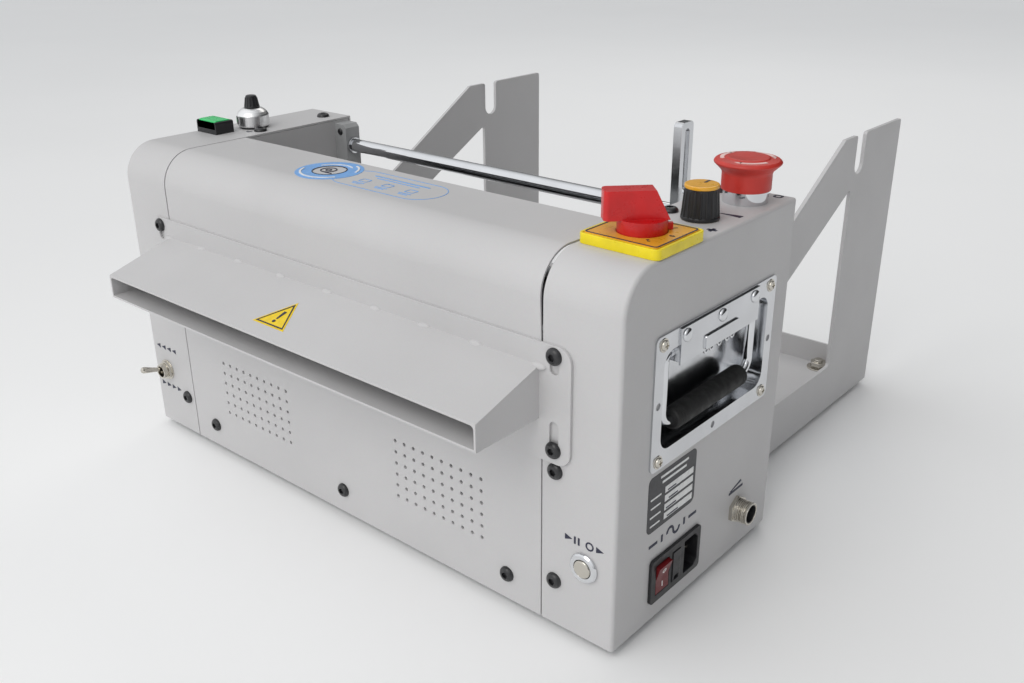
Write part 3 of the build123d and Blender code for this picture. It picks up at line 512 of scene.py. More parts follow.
def eased_profile(profile, ease):
    """Profile with each inner corner cut into a short arc."""
    result = [profile[0]]
    for before, corner, after in zip(profile, profile[1:], profile[2:]):
        reach_in = min(ease, 0.45 * math.dist(before, corner))
        reach_out = min(ease, 0.45 * math.dist(corner, after))
        start = Vector(corner).lerp(Vector(before), reach_in / max(math.dist(before, corner), 1e-9))
        end = Vector(corner).lerp(Vector(after), reach_out / max(math.dist(corner, after), 1e-9))
        for t in (0.0, 0.35, 0.65, 1.0):
            point = start.lerp(Vector(corner), t).lerp(Vector(corner).lerp(end, t), t)
            result.append(tuple(point))
    result.append(profile[-1])
    return result


def turned(name, profile, place, finish, body, ease=0.0, steps=None, sharp=32.0):
    return to_piece(name, turned_mesh(profile, place, steps, ease), finish, body, sharp)


def prism_into(bm, outline, low, high, material=0):
    """Closed prism over a flat outline in millimetres, between two heights in metres."""
    bottom = [bm.verts.new((x * MM, y * MM, low)) for x, y in outline]
    top = [bm.verts.new((x * MM, y * MM, high)) for x, y in outline]
    faces = [bm.faces.new(top), bm.faces.new(list(reversed(bottom)))]
    for index in range(len(outline)):
        after = (index + 1) % len(outline)
        faces.append(bm.faces.new((bottom[index], bottom[after], top[after], top[index])))
    for face in faces:
        face.material_index = material


def decal(name, place, layers, body=MACHINE, lift=0.0):
    """Printed shapes on a face: each layer is a finish and its outlines, and lies on the one before."""
    step = sizes().print_height
    bm = bmesh.new()
    for index, (finish, outlines) in enumerate(layers):
        for outline in outlines:
            prism_into(bm, outline, lift - step / 2, lift + step * (index + 1), index)
    mesh = mesh_of(bm, place)
    for finish, outlines in layers:
        mesh.materials.append(FINISH[finish])
    return to_piece(name, mesh, layers[0][0], body)


def bar(x, y, width, height):
    """Rectangle outline round its middle."""
    half_w, half_h = width / 2, height / 2
    return [
        (x - half_w, y - half_h), (x + half_w, y - half_h), (x + half_w, y + half_h),
        (x - half_w, y + half_h),
    ]


def disc(x, y, radius, steps=48):
    turns = [2 * math.pi * step / steps for step in range(steps)]
    return [(x + radius * math.cos(t), y + radius * math.sin(t)) for t in turns]


def soft_bar(x, y, width, height, radius, steps=6):
    """Rectangle outline with round corners."""
    outline = []
    for quarter, (side_x, side_y) in enumerate(((1, -1), (1, 1), (-1, 1), (-1, -1))):
        centre_x = x + side_x * (width / 2 - radius)
        centre_y = y + side_y * (height / 2 - radius)
        for step in range(steps + 1):
            turn = math.radians(-90 + 90 * quarter + 90 * step / steps)
            outline.append((centre_x + radius * math.cos(turn), centre_y + radius * math.sin(turn)))
    return outline


def band(outer, inner):
    """Quads that fill the strip between two outlines with as many points."""
    count = len(outer)
    return [[outer[i], outer[(i + 1) % count], inner[(i + 1) % count], inner[i]] for i in range(count)]


def arc_band(x, y, inside, outside, start, end, steps=10):
    """Quads along an arc, angles in degrees."""
    quads = []
    for step in range(steps):
        first = math.radians(start + (end - start) * step / steps)
        second = math.radians(start + (end - start) * (step + 1) / steps)
        corners = ((inside, first), (outside, first), (outside, second), (inside, second))
        quads.append([(x + radius * math.cos(t), y + radius * math.sin(t)) for radius, t in corners])
    return quads


def arrow_head(x, y, size, direction):
    """Triangle that points along a direction in degrees."""
    turns = [math.radians(direction + step) for step in (0, 140, 220)]
    return [(x + size * math.cos(t), y + size * math.sin(t)) for t in turns]


def numeral(text, x, y, height, turn=0.0):
    """Outlines are not enough for figures, so a numeral is a mesh of its own, in metres on its face."""
    curve = bpy.data.curves.new("numeral", "FONT")
    curve.body = text
    curve.size = height * MM
    curve.extrude = sizes().print_height
    curve.align_x = "CENTER"
    curve.align_y = "CENTER"
    holder = bpy.data.objects.new("numeral", curve)
    bpy.context.scene.collection.objects.link(holder)
    bpy.context.view_layer.update()
    mesh = bpy.data.meshes.new_from_object(holder.evaluated_get(bpy.context.evaluated_depsgraph_get()))
    bpy.data.objects.remove(holder)
    mesh.transform(Matrix.Translation((x * MM, y * MM, 0)) @ Matrix.Rotation(turn, 4, "Z"))
    return mesh


def numerals(name, place, entries, finish, body):
    """Figures on a face as one piece; entries are text, x, y, height and turn in degrees."""
    bm = bmesh.new()
    for text, x, y, height, turn in entries:
        figure = numeral(text, x, y, height, math.radians(turn))
        bm.from_mesh(figure)
        bpy.data.meshes.remove(figure)
    bmesh.ops.remove_doubles(bm, verts=bm.verts, dist=1e-7)
    mesh = mesh_of(bm, place)
    mesh.materials.clear()
    return to_piece(name, mesh, finish, body)


# Repeats made with Geometry Nodes


def start_tree(name, inputs):
    """Empty geometry tree with named inputs."""
    tree = bpy.data.node_groups.new(name, "GeometryNodeTree")
    tree.interface.new_socket("Geometry", in_out="INPUT", socket_type="NodeSocketGeometry")
    for label, kind, default in inputs:
        socket = tree.interface.new_socket(label, in_out="INPUT", socket_type=kind)
        if default is not None:
            socket.default_value = default
    tree.interface.new_socket("Geometry", in_out="OUTPUT", socket_type="NodeSocketGeometry")
    return tree, tree.nodes.new("NodeGroupInput"), tree.nodes.new("NodeGroupOutput")


COMMON_INPUTS = [
    ("Template", "NodeSocketObject", None),
    ("Size", "NodeSocketFloat", 1.0),
    ("Finish", "NodeSocketMaterial", None),
]


def end_tree(tree, given, output, points, rotation):
    """Puts the template on the points, makes it real and gives it its finish."""
    template = add_node(tree, "GeometryNodeObjectInfo", Object=given.outputs["Template"])
    placed = add_node(tree, "GeometryNodeInstanceOnPoints", Points=points)
    tree.links.new(template.outputs["Geometry"], placed.inputs["Instance"])
    tree.links.new(rotation, placed.inputs["Rotation"])
    tree.links.new(given.outputs["Size"], placed.inputs["Scale"])
    real = add_node(tree, "GeometryNodeRealizeInstances", Geometry=placed.outputs["Instances"])
    coloured = add_node(tree, "GeometryNodeSetMaterial", Geometry=real.outputs["Geometry"])
    tree.links.new(given.outputs["Finish"], coloured.inputs["Material"])
    tree.links.new(coloured.outputs["Geometry"], output.inputs["Geometry"])


def points_tree():
    """Template on each given point, its Z along the point's own direction."""
    tree, given, output = start_tree("on_points", COMMON_INPUTS)
    out = add_node(tree, "GeometryNodeInputNamedAttribute", {"data_type": "FLOAT_VECTOR"}, Name="out")
    turned_to = add_node(tree, "FunctionNodeAlignRotationToVector", {"axis": "Z"})
    tree.links.new(out.outputs["Attribute"], turned_to.inputs["Vector"])
    end_tree(tree, given, output, given.outputs["Geometry"], turned_to.outputs["Rotation"])
    return tree


def grid_tree():
    """Template on a flat grid."""
    inputs = [
        ("Columns", "NodeSocketInt", 10), ("Rows", "NodeSocketInt", 6),
        ("Pitch", "NodeSocketFloat", 0.0085),
    ]
    tree, given, output = start_tree("on_grid", COMMON_INPUTS + inputs)
    grid = add_node(tree, "GeometryNodeMeshGrid")
    tree.links.new(given.outputs["Columns"], grid.inputs["Vertices X"])
    tree.links.new(given.outputs["Rows"], grid.inputs["Vertices Y"])
    for label, socket in (("Columns", "Size X"), ("Rows", "Size Y")):
        gaps = add_node(tree, "ShaderNodeMath", {"operation": "SUBTRACT"})
        tree.links.new(given.outputs[label], gaps.inputs[0])
        gaps.inputs[1].default_value = 1.0
        span = add_node(tree, "ShaderNodeMath", {"operation": "MULTIPLY"})
        tree.links.new(gaps.outputs[0], span.inputs[0])
        tree.links.new(given.outputs["Pitch"], span.inputs[1])
        tree.links.new(span.outputs[0], grid.inputs[socket])
    still = add_node(tree, "FunctionNodeEulerToRotation")
    end_tree(tree, given, output, grid.outputs["Mesh"], still.outputs["Rotation"])
    return tree


def ring_tree():
    """Template round a circle, its X pointing outwards, in rows along Z."""
    inputs = [
        ("Count", "NodeSocketInt", 18),
        ("Radius", "NodeSocketFloat", 0.01),
        ("Rows", "NodeSocketInt", 1),
        ("Row pitch", "NodeSocketFloat", 0.012),
    ]
    tree, given, output = start_tree("on_ring", COMMON_INPUTS + inputs)
    step = add_node(tree, "ShaderNodeCombineXYZ")
    tree.links.new(given.outputs["Row pitch"], step.inputs["Z"])
    line = add_node(tree, "GeometryNodeMeshLine", {"mode": "OFFSET"})
    tree.links.new(given.outputs["Rows"], line.inputs["Count"])
    tree.links.new(step.outputs["Vector"], line.inputs["Offset"])
    circle = add_node(tree, "GeometryNodeMeshCircle")
    tree.links.new(given.outputs["Count"], circle.inputs["Vertices"])
    tree.links.new(given.outputs["Radius"], circle.inputs["Radius"])
    rows = add_node(tree, "GeometryNodeInstanceOnPoints", Points=line.outputs["Mesh"])
    tree.links.new(circle.outputs["Mesh"], rows.inputs["Instance"])
    real = add_node(tree, "GeometryNodeRealizeInstances", Geometry=rows.outputs["Instances"])
    place = add_node(tree, "GeometryNodeInputPosition")
    flat = add_node(tree, "ShaderNodeVectorMath", {"operation": "MULTIPLY"})
    tree.links.new(place.outputs["Position"], flat.inputs[0])
    flat.inputs[1].default_value = (1, 1, 0)
    outward = add_node(tree, "FunctionNodeAlignRotationToVector", {"axis": "X", "pivot_axis": "Z"})
    tree.links.new(flat.outputs["Vector"], outward.inputs["Vector"])
    end_tree(tree, given, output, real.outputs["Geometry"], outward.outputs["Rotation"])
    return tree


TREES = {}


def repeated(name, kind, source, template, finish, body, slot, place=None, sharp=32.0, **inputs):
    """Piece made by one of the trees, from a points mesh or none, and a template mesh."""
    maker = {"points": points_tree, "grid": grid_tree, "ring": ring_tree}[kind]
    if kind not in TREES:
        TREES[kind] = maker()
    tree = TREES[kind]
    pattern = bpy.data.objects.new("pattern", template)
    bpy.context.scene.collection.objects.link(pattern)
    values = {
        "Template": pattern, "Finish": FINISH[finish],
        **{key.replace("_", " "): v for key, v in inputs.items()},
    }

    def build(passing):
        modifier = passing.modifiers.new("repeat", "NODES")
        modifier.node_group = tree
        for item in tree.interface.items_tree:
            if item.in_out == "INPUT" and item.name in values:
                modifier[item.identifier] = values[item.name]

    mesh = with_modifiers(source or bpy.data.meshes.new("none"), build)
    bpy.data.objects.remove(pattern)
    if place is not None:
        mesh.transform(place)
    return to_piece(name, mesh, finish, body, sharp)


def point_cloud(entries):
    """Mesh of loose points, each with the direction in which its template stands."""
    mesh = bpy.data.meshes.new("points")
    mesh.from_pydata([tuple(point) for point, out in entries], [], [])
    attribute = mesh.attributes.new("out", "FLOAT_VECTOR", "POINT")
    for index, (point, out) in enumerate(entries):
        attribute.data[index].vector = out
    return mesh


def still():
    return Matrix.Identity(4)


def screw_head_mesh(radius, height):
    """Domed button head with a hexagon socket; the dome stands along Z from its seat."""
    bm = bmesh.new()
    steps = 30
    rise = ((1.0, 0.0), (1.0, 0.22), (0.95, 0.5), (0.84, 0.76), (0.68, 0.94), (0.56, 1.0))
    rings = []
    for share, level in rise:
        turns = [2 * math.pi * step / steps for step in range(steps)]
        points = [(radius * share * math.cos(t), radius * share * math.sin(t), height * level) for t in turns]
        rings.append([bm.verts.new(point) for point in points])
    for depth in (1.0, 0.4):
        hexagon = []
        for step in range(steps):
            turn = 2 * math.pi * step / steps
            reach = radius * 0.44 * math.cos(math.pi / 6) / math.cos((turn % (math.pi / 3)) - math.pi / 6)
            hexagon.append(bm.verts.new((reach * math.cos(turn), reach * math.sin(turn), height * depth)))
        rings.append(hexagon)
    for lower, upper in zip(rings, rings[1:]):
        for step in range(steps):
            after = (step + 1) % steps
            bm.faces.new((lower[step], lower[after], upper[after], upper[step]))
    bm.faces.new(rings[-1])
    bm.faces.new(list(reversed(rings[0])))
    return mesh_of(bm)


def cross_head_mesh(radius, height):
    """Pan head on a washer, with a cross recess."""
    head = [(0, -0.05), (radius, -0.05), (radius, 0.45), (radius * 0.78, 0.5), (radius * 0.76, height * 0.55)]
    head += [(radius * 0.66, height * 0.85), (radius * 0.42, height), (0, height)]
    mesh = turned_mesh(head, still(), steps=28)
    bm = bmesh.new()
    for turn in (0.0, math.pi / 2):
        slot = bmesh.new()
        prism_into(slot, bar(0, 0, radius * 0.86, radius * 0.2), (height - 0.75) * MM, (height + 0.4) * MM)
        slot.transform(Matrix.Rotation(turn, 4, "Z"))
        part = mesh_of(slot)
        bm.from_mesh(part)
        bpy.data.meshes.remove(part)
    cutter_mesh = mesh_of(bm)
    cutter = bpy.data.objects.new("cross", cutter_mesh)
    bpy.context.scene.collection.objects.link(cutter)

    def build(passing):
        modifier = passing.modifiers.new("cross", "BOOLEAN")
        modifier.operation = "DIFFERENCE"
        modifier.solver = "EXACT"
        modifier.use_self = True
        modifier.object = cutter

    result = with_modifiers(mesh, build)
    bpy.data.objects.remove(cutter)
    return result


def rivet_mesh(radius, height):
    dome = [(0, 0), (radius, 0), (radius, 0.25), (radius * 0.93, height * 0.5)]
    dome += [(radius * 0.75, height * 0.8), (radius * 0.45, height * 0.96), (0, height)]
    return turned_mesh(dome, still(), steps=28)


# Pieces


class MACHINE_OT_casing(bpy.types.Operator):
    """Covers, hood, panels and chute, with eased sheet edges"""

    bl_idname = "machine.casing"
    bl_label = "Casing"

    def execute(self, context):
        edge = sizes().sheet_edge
        for node in ("left_cabinet", "right_cabinet", "front_panel", "rear_panel", "outlet_chute"):
            eased(node, "coat", edge)
        self.hood(edge)
        for node in ("left_bearing_plate", "right_bearing_plate"):
            eased(node, "coat", edge)
        eased("base_pan", "zinc", edge)
        return {"FINISHED"}

    def hood(self, edge):
        """Hood whose right-hand edge springs away from its neighbour where it bends."""
        mesh = bevelled(joined_mesh("hood"), edge)
        mesh.materials.clear()
        low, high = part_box("hood")
        bend = high.z - 60 * MM
        for vertex in mesh.vertices:
            if vertex.co.x > high.x - 1.0 * MM and vertex.co.z > bend:
                rise = min(1.0, (vertex.co.z - bend) / (45 * MM))
                flat = min(1.0, max(0.0, (vertex.co.y - low.y - 30 * MM) / (40 * MM)))
                vertex.co.x -= 1.6 * MM * rise * (1 - 0.8 * flat)
        piece = to_piece("hood_piece", mesh, "coat", body_of("hood"), 35.0)
        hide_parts("hood")


class MACHINE_OT_vents(bpy.types.Operator):
    """Punched lips round the cooling holes in the front panel"""

    bl_idname = "machine.vents"
    bl_label = "Cooling holes"

    columns: bpy.props.IntProperty(name="Columns", description="Holes across a grid", default=10)
    rows: bpy.props.IntProperty(name="Rows", description="Holes up a grid", default=6)
    pitch: bpy.props.FloatProperty(name="Pitch", description="Hole to hole", default=8.5 * MM, unit="LENGTH")
    first: bpy.props.FloatProperty(
        name="First", description="Left end to first column", default=101.8 * MM, unit="LENGTH"
    )
    low: bpy.props.FloatProperty(
        name="Low", description="Underside to lowest row", default=36.5 * MM, unit="LENGTH"
    )

    def execute(self, context):
        outside = sizes().vent_rim / MM
        lip = [
            (1.3, -1.4), (1.36, -1.4), (1.4, 0.0), (outside, 0.0), (outside - 0.1, 0.07),
            (1.38, 0.05), (1.3, -0.1),
        ]
        half_x = self.pitch * (self.columns - 1) / 2
        half_z = self.pitch * (self.rows - 1) / 2
        starts = (self.first + half_x, WIDTH * MM - self.first - half_x)
        for side, centre in zip(("left", "right"), starts):
            place = on_front(centre / MM, (self.low + half_z) / MM)
            rim = turned_mesh(lip, still(), steps=14)
            grid = {"Columns": self.columns, "Rows": self.rows, "Pitch": self.pitch}
            repeated(f"{side}_vent_lips", "grid", None, rim, "coat", MACHINE, "white_coat", place, **grid)
        return {"FINISHED"}


class MACHINE_OT_welds(bpy.types.Operator):
    """Ground tack welds where the chute's roof and ends meet its flange"""

    bl_idname = "machine.welds"
    bl_label = "Tack welds"

    count: bpy.props.IntProperty(name="Count", description="Tack welds along the roof", default=9)

    def execute(self, context):
        low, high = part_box("hood")
        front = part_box("outlet_chute")[1].y - 2.0 * MM
        roof = at(0, 0, 171.5).z
        radius = sizes().weld_bead
        spots = []
        for number in range(self.count):
            share = number / (self.count - 1)
            wander = 3.5 * MM * math.sin(5.3 * number)
            x = low.x + share * (high.x - low.x) + (wander if 0 < number < self.count - 1 else 0)
            spots.append((Vector((x, front - 0.2 * MM, roof)), Vector((0, -0.6, 0.8))))
        bead = [(0, -0.3), (1.0, -0.15), (0.9, 0.12), (0.66, 0.34), (0.32, 0.46), (0, 0.5)]
        template = turned_mesh([(r / MM * radius, h / MM * radius) for r, h in bead], still(), steps=14)
        stretch = Matrix.Diagonal((1.7, 0.85, 0.9, 1.0))
        template.transform(stretch)
        repeated("chute_tack_welds", "points", point_cloud(spots), template, "coat", MACHINE, "white_coat")
        return {"FINISHED"}


class MACHINE_OT_screws(bpy.types.Operator):
    """Black button-head screws with hexagon sockets"""

    bl_idname = "machine.screws"
    bl_label = "Button screws"

    def execute(self, context):
        spots = []
        for low, high in islands("button_screws"):
            span = high - low
            centre = (low + high) / 2
            upright = span.z < span.x
            if upright:
                spots.append((Vector((centre.x, centre.y, high.z - 2.9 * MM)), Vector((0, 0, 1))))
            elif centre.y < at(0, 90, 0).y:
                spots.append((Vector((centre.x, low.y + 2.9 * MM, centre.z)), Vector((0, -1, 0))))
            else:
                spots.append((Vector((centre.x, high.y - 2.9 * MM, centre.z)), Vector((0, 1, 0))))
        head = screw_head_mesh(5.25 * MM, 2.9 * MM)
        piece = repeated(
            "button_screw_heads", "points", point_cloud(spots), head, "oxide", MACHINE,
            "black_screw", sharp=40,
        )
        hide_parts("button_screws")
        return {"FINISHED"}


class MACHINE_OT_roll_holder(bpy.types.Operator):
    """Rear tray and the two slotted brackets, with nuts on the floor"""

    bl_idname = "machine.roll_holder"
    bl_label = "Roll holder"

    def execute(self, context):
        edge = sizes().sheet_edge
        for node in ("roll_tray", "left_roll_bracket", "right_roll_bracket"):
            eased(node, "coat", edge)
        eased("foot_bolts", "nickel", 0.5 * MM, segments=3)
        spots = []
        for low, high in islands("foot_bolts"):
            centre = (low + high) / 2
            spots.append((Vector((centre.x, centre.y, at(0, 0, 2.0).z)), Vector((0, 0, 1))))
        washer = turned_mesh([(4.2, 0), (10.0, 0), (10.0, 1.0), (9.7, 1.2), (4.2, 1.2)], still(), steps=40)
        repeated("foot_bolt_washers", "points", point_cloud(spots), washer, "nickel", MACHINE, "bright_metal")
        return {"FINISHED"}


class MACHINE_OT_paper_path(bpy.types.Operator):
    """Guide bar, its end blocks and the sliding edge guide"""

    bl_idname = "machine.paper_path"
    bl_label = "Guide bar"

    def execute(self, context):
        low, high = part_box("guide_bar")
        radius = (high.z - low.z) / 2 / MM
        length = (high.x - low.x) / MM
        place = facing(Vector((low.x, (low.y + high.y) / 2, (low.z + high.z) / 2)), (0, 1, 0), (0, 0, 1))
        profile = [(0, 0), (radius, 0), (radius, length), (0, length)]
        bar_piece = turned("guide_bar_piece", profile, place, "chrome", MACHINE, ease=0.7)
        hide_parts("guide_bar")
        eased("guide_blocks", "casting", 0.8 * MM, segments=3)
        self.collar(low, high)
        eased("paper_edge_guide", "pressed", 0.5 * MM, segments=2)
        spots = []
        for low, high in islands("clamp_screws"):
            centre = (low + high) / 2
            spots.append((Vector((centre.x, low.y + 1.2 * MM, centre.z)), Vector((0, -1, 0))))
        head = screw_head_mesh(2.9 * MM, 1.2 * MM)
        heads = repeated(
            "clamp_screw_heads", "points", point_cloud(spots), head, "oxide", MACHINE, "black_screw"
        )
        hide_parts("clamp_screws")
        return {"FINISHED"}

    def collar(self, low, high):
        """Polished ring on the bar at the left block; the edge guide slides right up to the other block."""
        radius = (high.z - low.z) / 2 / MM
        seat = Vector((islands("guide_blocks")[0][1].x, (low.y + high.y) / 2, (low.z + high.z) / 2))
        ring = [(radius - 0.3, 0), (radius + 1.5, 0), (radius + 1.5, 2.6), (radius - 0.3, 2.6)]
        turned(
            "guide_bar_collar", ring, facing(seat, (0, 1, 0), (0, 0, 1)), "chrome", MACHINE,
            ease=0.6,
        )


class MACHINE_OT_rollers(bpy.types.Operator):
    """Embossing rollers with rows of shallow pads on their lands, and their bearings"""

    bl_idname = "machine.rollers"
    bl_label = "Rollers"

    pads: bpy.props.IntProperty(name="Pads", description="Pads round each land", default=24)

    def execute(self, context):
        for name, body in (("lower", "lower_roller_body"), ("upper", "upper_roller_body")):
            node = f"{name}_embossing_roller"
            repaint(node, "turned")
            low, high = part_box(node)
            centre_y, centre_z = (low.y + high.y) / 2, (low.z + high.z) / 2
            place = facing(Vector((at(62.0, 0, 0).x, centre_y, centre_z)), (0, 1, 0), (0, 0, 1))
            radius = (high.z - low.z) / 2
            pad = bmesh.new()
            prism_into(pad, soft_bar(0, 0, 5.6, 3.2, 1.5, 3), -0.3 * MM, 0.22 * MM)
            pad.transform(Matrix.Rotation(math.radians(90), 4, "Y"))
            pattern = {"Count": self.pads, "Radius": radius, "Rows": 29, "Row_pitch": 12.0 * MM}
            repeated(
                f"{name}_roller_pads", "ring", None, mesh_of(pad), "turned", body, "roller_steel",
                place, **pattern,
            )
        eased("roller_bearings", "turned", 0.4 * MM)
        return {"FINISHED"}


class MACHINE_OT_drive(bpy.types.Operator):
    """Gears, gear motor, power supply and control board inside the casing"""

    bl_idname = "machine.drive"
    bl_label = "Drive and electronics"

    def execute(self, context):
        for node in ("lower_sync_gear", "upper_sync_gear", "drive_gear"):
            repaint(node, "gear")
        repaint("motor_pinion", "brass")
        repaint("motor_shaft", "turned")
        eased("gear_motor", "enamel", 0.8 * MM)
        eased("power_supply", "zinc", 0.6 * MM)
        eased("control_board", "board", 0.2 * MM)
        self.power_supply_vent_shade()
        self.board_parts()
        return {"FINISHED"}

    def power_supply_vent_shade(self):
        """Dark patches on the power supply's lid where its pressed vent slots are: painted shade for the openings,
        in the black moulding finish.
        """
        low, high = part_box("power_supply")
        place = standing(low, high, high.z)
        place.translation.x -= 3.5 * MM
        slot = bmesh.new()
        prism_into(slot, soft_bar(0, 0, 2.2, 5.6, 1.0, 4), -0.2 * MM, 0.25 * MM)
        pattern = {"Columns": 16, "Rows": 6, "Pitch": 6.6 * MM}
        # The black finish here is painted shade standing in for the open slots, not a black part.
        repeated(
            "power_supply_slots", "grid", None, mesh_of(slot), "black", MACHINE, "black_plastic",
            place, **pattern,
        )

    def board_parts(self):
        """Row of terminal screws along the control board."""
        low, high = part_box("control_board")
        spots = [
            (
                Vector((low.x + (10 + 7 * n) * MM, high.y - 6 * MM, at(0, 0, 13.6).z)),
                Vector((0, 0, 1)),
            )
            for n in range(8)
        ]
        terminal = turned_mesh([(0, 0), (2.6, 0), (2.6, 5), (1.8, 6), (0, 6)], still(), steps=16, ease=0.3)
        repeated("board_terminals", "points", point_cloud(spots), terminal, "nickel", MACHINE, "bright_metal")


class MACHINE_OT_stop_button(bpy.types.Operator):
    """Mushroom stop button with twist arrows and a plated bezel"""

    bl_idname = "machine.stop_button"
    bl_label = "Stop button"

    def execute(self, context):
        eased("stop_button_bezel", "chrome", 0.5 * MM, segments=3)
        repaint("stop_button_stem", "black")
        low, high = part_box("stop_button_head")
        place = standing(low, high, low.z)
        tall = (high.z - low.z) / MM
        wide = (high.x - low.x) / 2 / MM
        profile = [(0, 8.1), (7.85, 8.1), (7.85, 4.2), (14.3, 4.2), (14.3, 0), (15.4, 0), (15.4, 10.4)]
        profile += [(16.1, 12.0), (wide - 1.6, 14.9), (wide, 16.4), (wide, 17.4), (wide - 1.3, 18.7)]
        profile += [
            (13.9, tall - 0.8), (13.5, tall - 0.75), (12.9, tall - 0.1), (11.5, tall),
            (0, tall - 0.5),
        ]
        head = turned("stop_button_cap", profile, place, "red", "stop_head_body", ease=0.6)
        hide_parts("stop_button_head")
        arcs = []
        for third in range(3):
            start = 40 + 120 * third
            arcs += arc_band(0, 0, 14.6, 17.0, start, start + 62, 12)
            tip = math.radians(start - 3)
            arcs.append(arrow_head(15.8 * math.cos(tip), 15.8 * math.sin(tip), 2.4, start - 93))
        ring = place.copy()
        ring.translation.z = high.z - 0.97 * MM
        decal("stop_button_arrows", ring, [("rose_ink", arcs)], "stop_head_body")
        return {"FINISHED"}


class MACHINE_OT_speed_knob(bpy.types.Operator):
    """Ribbed speed knob with an amber cap"""

    bl_idname = "machine.speed_knob"
    bl_label = "Speed knob"

    ribs: bpy.props.IntProperty(name="Ribs", description="Grip ribs round the knob", default=18)

    def execute(self, context):
        low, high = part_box("speed_knob")
        cap_low, cap_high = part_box("speed_knob_cap")
        place = standing(low, high, low.z)
        tall = (high.z - low.z) / MM
        profile = [
            (0, 11.4), (3.0, 11.4), (3.0, 0), (11.55, 0), (11.55, 1.6), (10.9, 2.0), (9.75, tall),
            (0, tall),
        ]
        skirt = turned(
            "speed_knob_skirt", profile, place, "black", "speed_knob_body",
            ease=0.35,
        )
        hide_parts("speed_knob")
        rib = turned_mesh([(0, 0), (1.15, 0), (1.0, 14.6), (0.55, 15.6), (0, 15.8)], still(), steps=10)
        rib.transform(Matrix.Translation((0, 0, 1.9 * MM)) @ Matrix.Rotation(math.radians(-4.0), 4, "Y"))
        pattern = {"Count": self.ribs, "Radius": 10.35 * MM, "Rows": 1}
        repeated(
            "speed_knob_ribs", "ring", None, rib, "black", "speed_knob_body", "black_plastic",
            place, **pattern,
        )
        cap_place = place.copy()
        cap_place.translation.z = cap_low.z
        cap_tall = (cap_high.z - cap_low.z) / MM
        profile = [(0, 0), (10.2, 0), (10.2, cap_tall - 0.2), (9.4, cap_tall), (0, cap_tall - 0.25)]
        cap = turned(
            "speed_knob_cap_piece", profile, cap_place, "amber", "speed_knob_body",
            ease=0.5,
        )
        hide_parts("speed_knob_cap")
        mark = cap_place.copy()
        mark.translation.z = cap_high.z - 0.14 * MM
        decal(
            "speed_knob_mark", mark, [("ink", [bar(0.0, 6.0, 1.5, 6.0)])], "speed_knob_body",
        )
        washer = [(3.6, 0), (11.2, 0), (11.2, 0.35), (10.9, 0.5), (3.6, 0.5)]
        ground = place.copy()
        ground.translation.z = at(0, 0, HEIGHT).z
        turned("speed_knob_washer", washer, ground, "nickel", MACHINE)
        repaint("speed_potentiometer", "nickel")
        return {"FINISHED"}


class MACHINE_OT_selector(bpy.types.Operator):
    """Rotary selector: yellow base, amber label with figures, red lever"""

    bl_idname = "machine.selector"
    bl_label = "Selector"

    def execute(self, context):
        eased("selector_base", "yellow", sizes().moulded_edge, segments=3)
        eased("selector_label", "amber", 0.15 * MM)
        eased("selector_handle", "handle_red", 0.7 * MM, segments=3)
        low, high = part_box("selector_label")
        place = standing(low, high, high.z)
        wide, deep = (high.x - low.x) / MM, (high.y - low.y) / MM
        frame_line = band(
            soft_bar(0, 0, wide - 0.6, deep - 0.6, 2.4), soft_bar(0, 0, wide - 2.6, deep - 2.6, 1.6)
        )
        decal("selector_label_frame", place, [("ink", frame_line)], MACHINE)
        entries = []
        for text, turn in (("1", 50), ("0", 3), ("2", -46)):
            angle = math.radians(turn)
            entries.append((text, 18.6 * math.cos(angle), 18.6 * math.sin(angle), 4.6, turn - 90))
        numerals("selector_figures", place, entries, "ink", MACHINE)
        return {"FINISHED"}


class MACHINE_OT_start_button(bpy.types.Operator):
    """Green push button between black cheeks"""

    bl_idname = "machine.start_button"
    bl_label = "Start button"

    def execute(self, context):
        eased("start_button_housing", "black", 0.4 * MM, segments=2)
        eased("start_button_cap", "green", 0.45 * MM, segments=3)
        return {"FINISHED"}


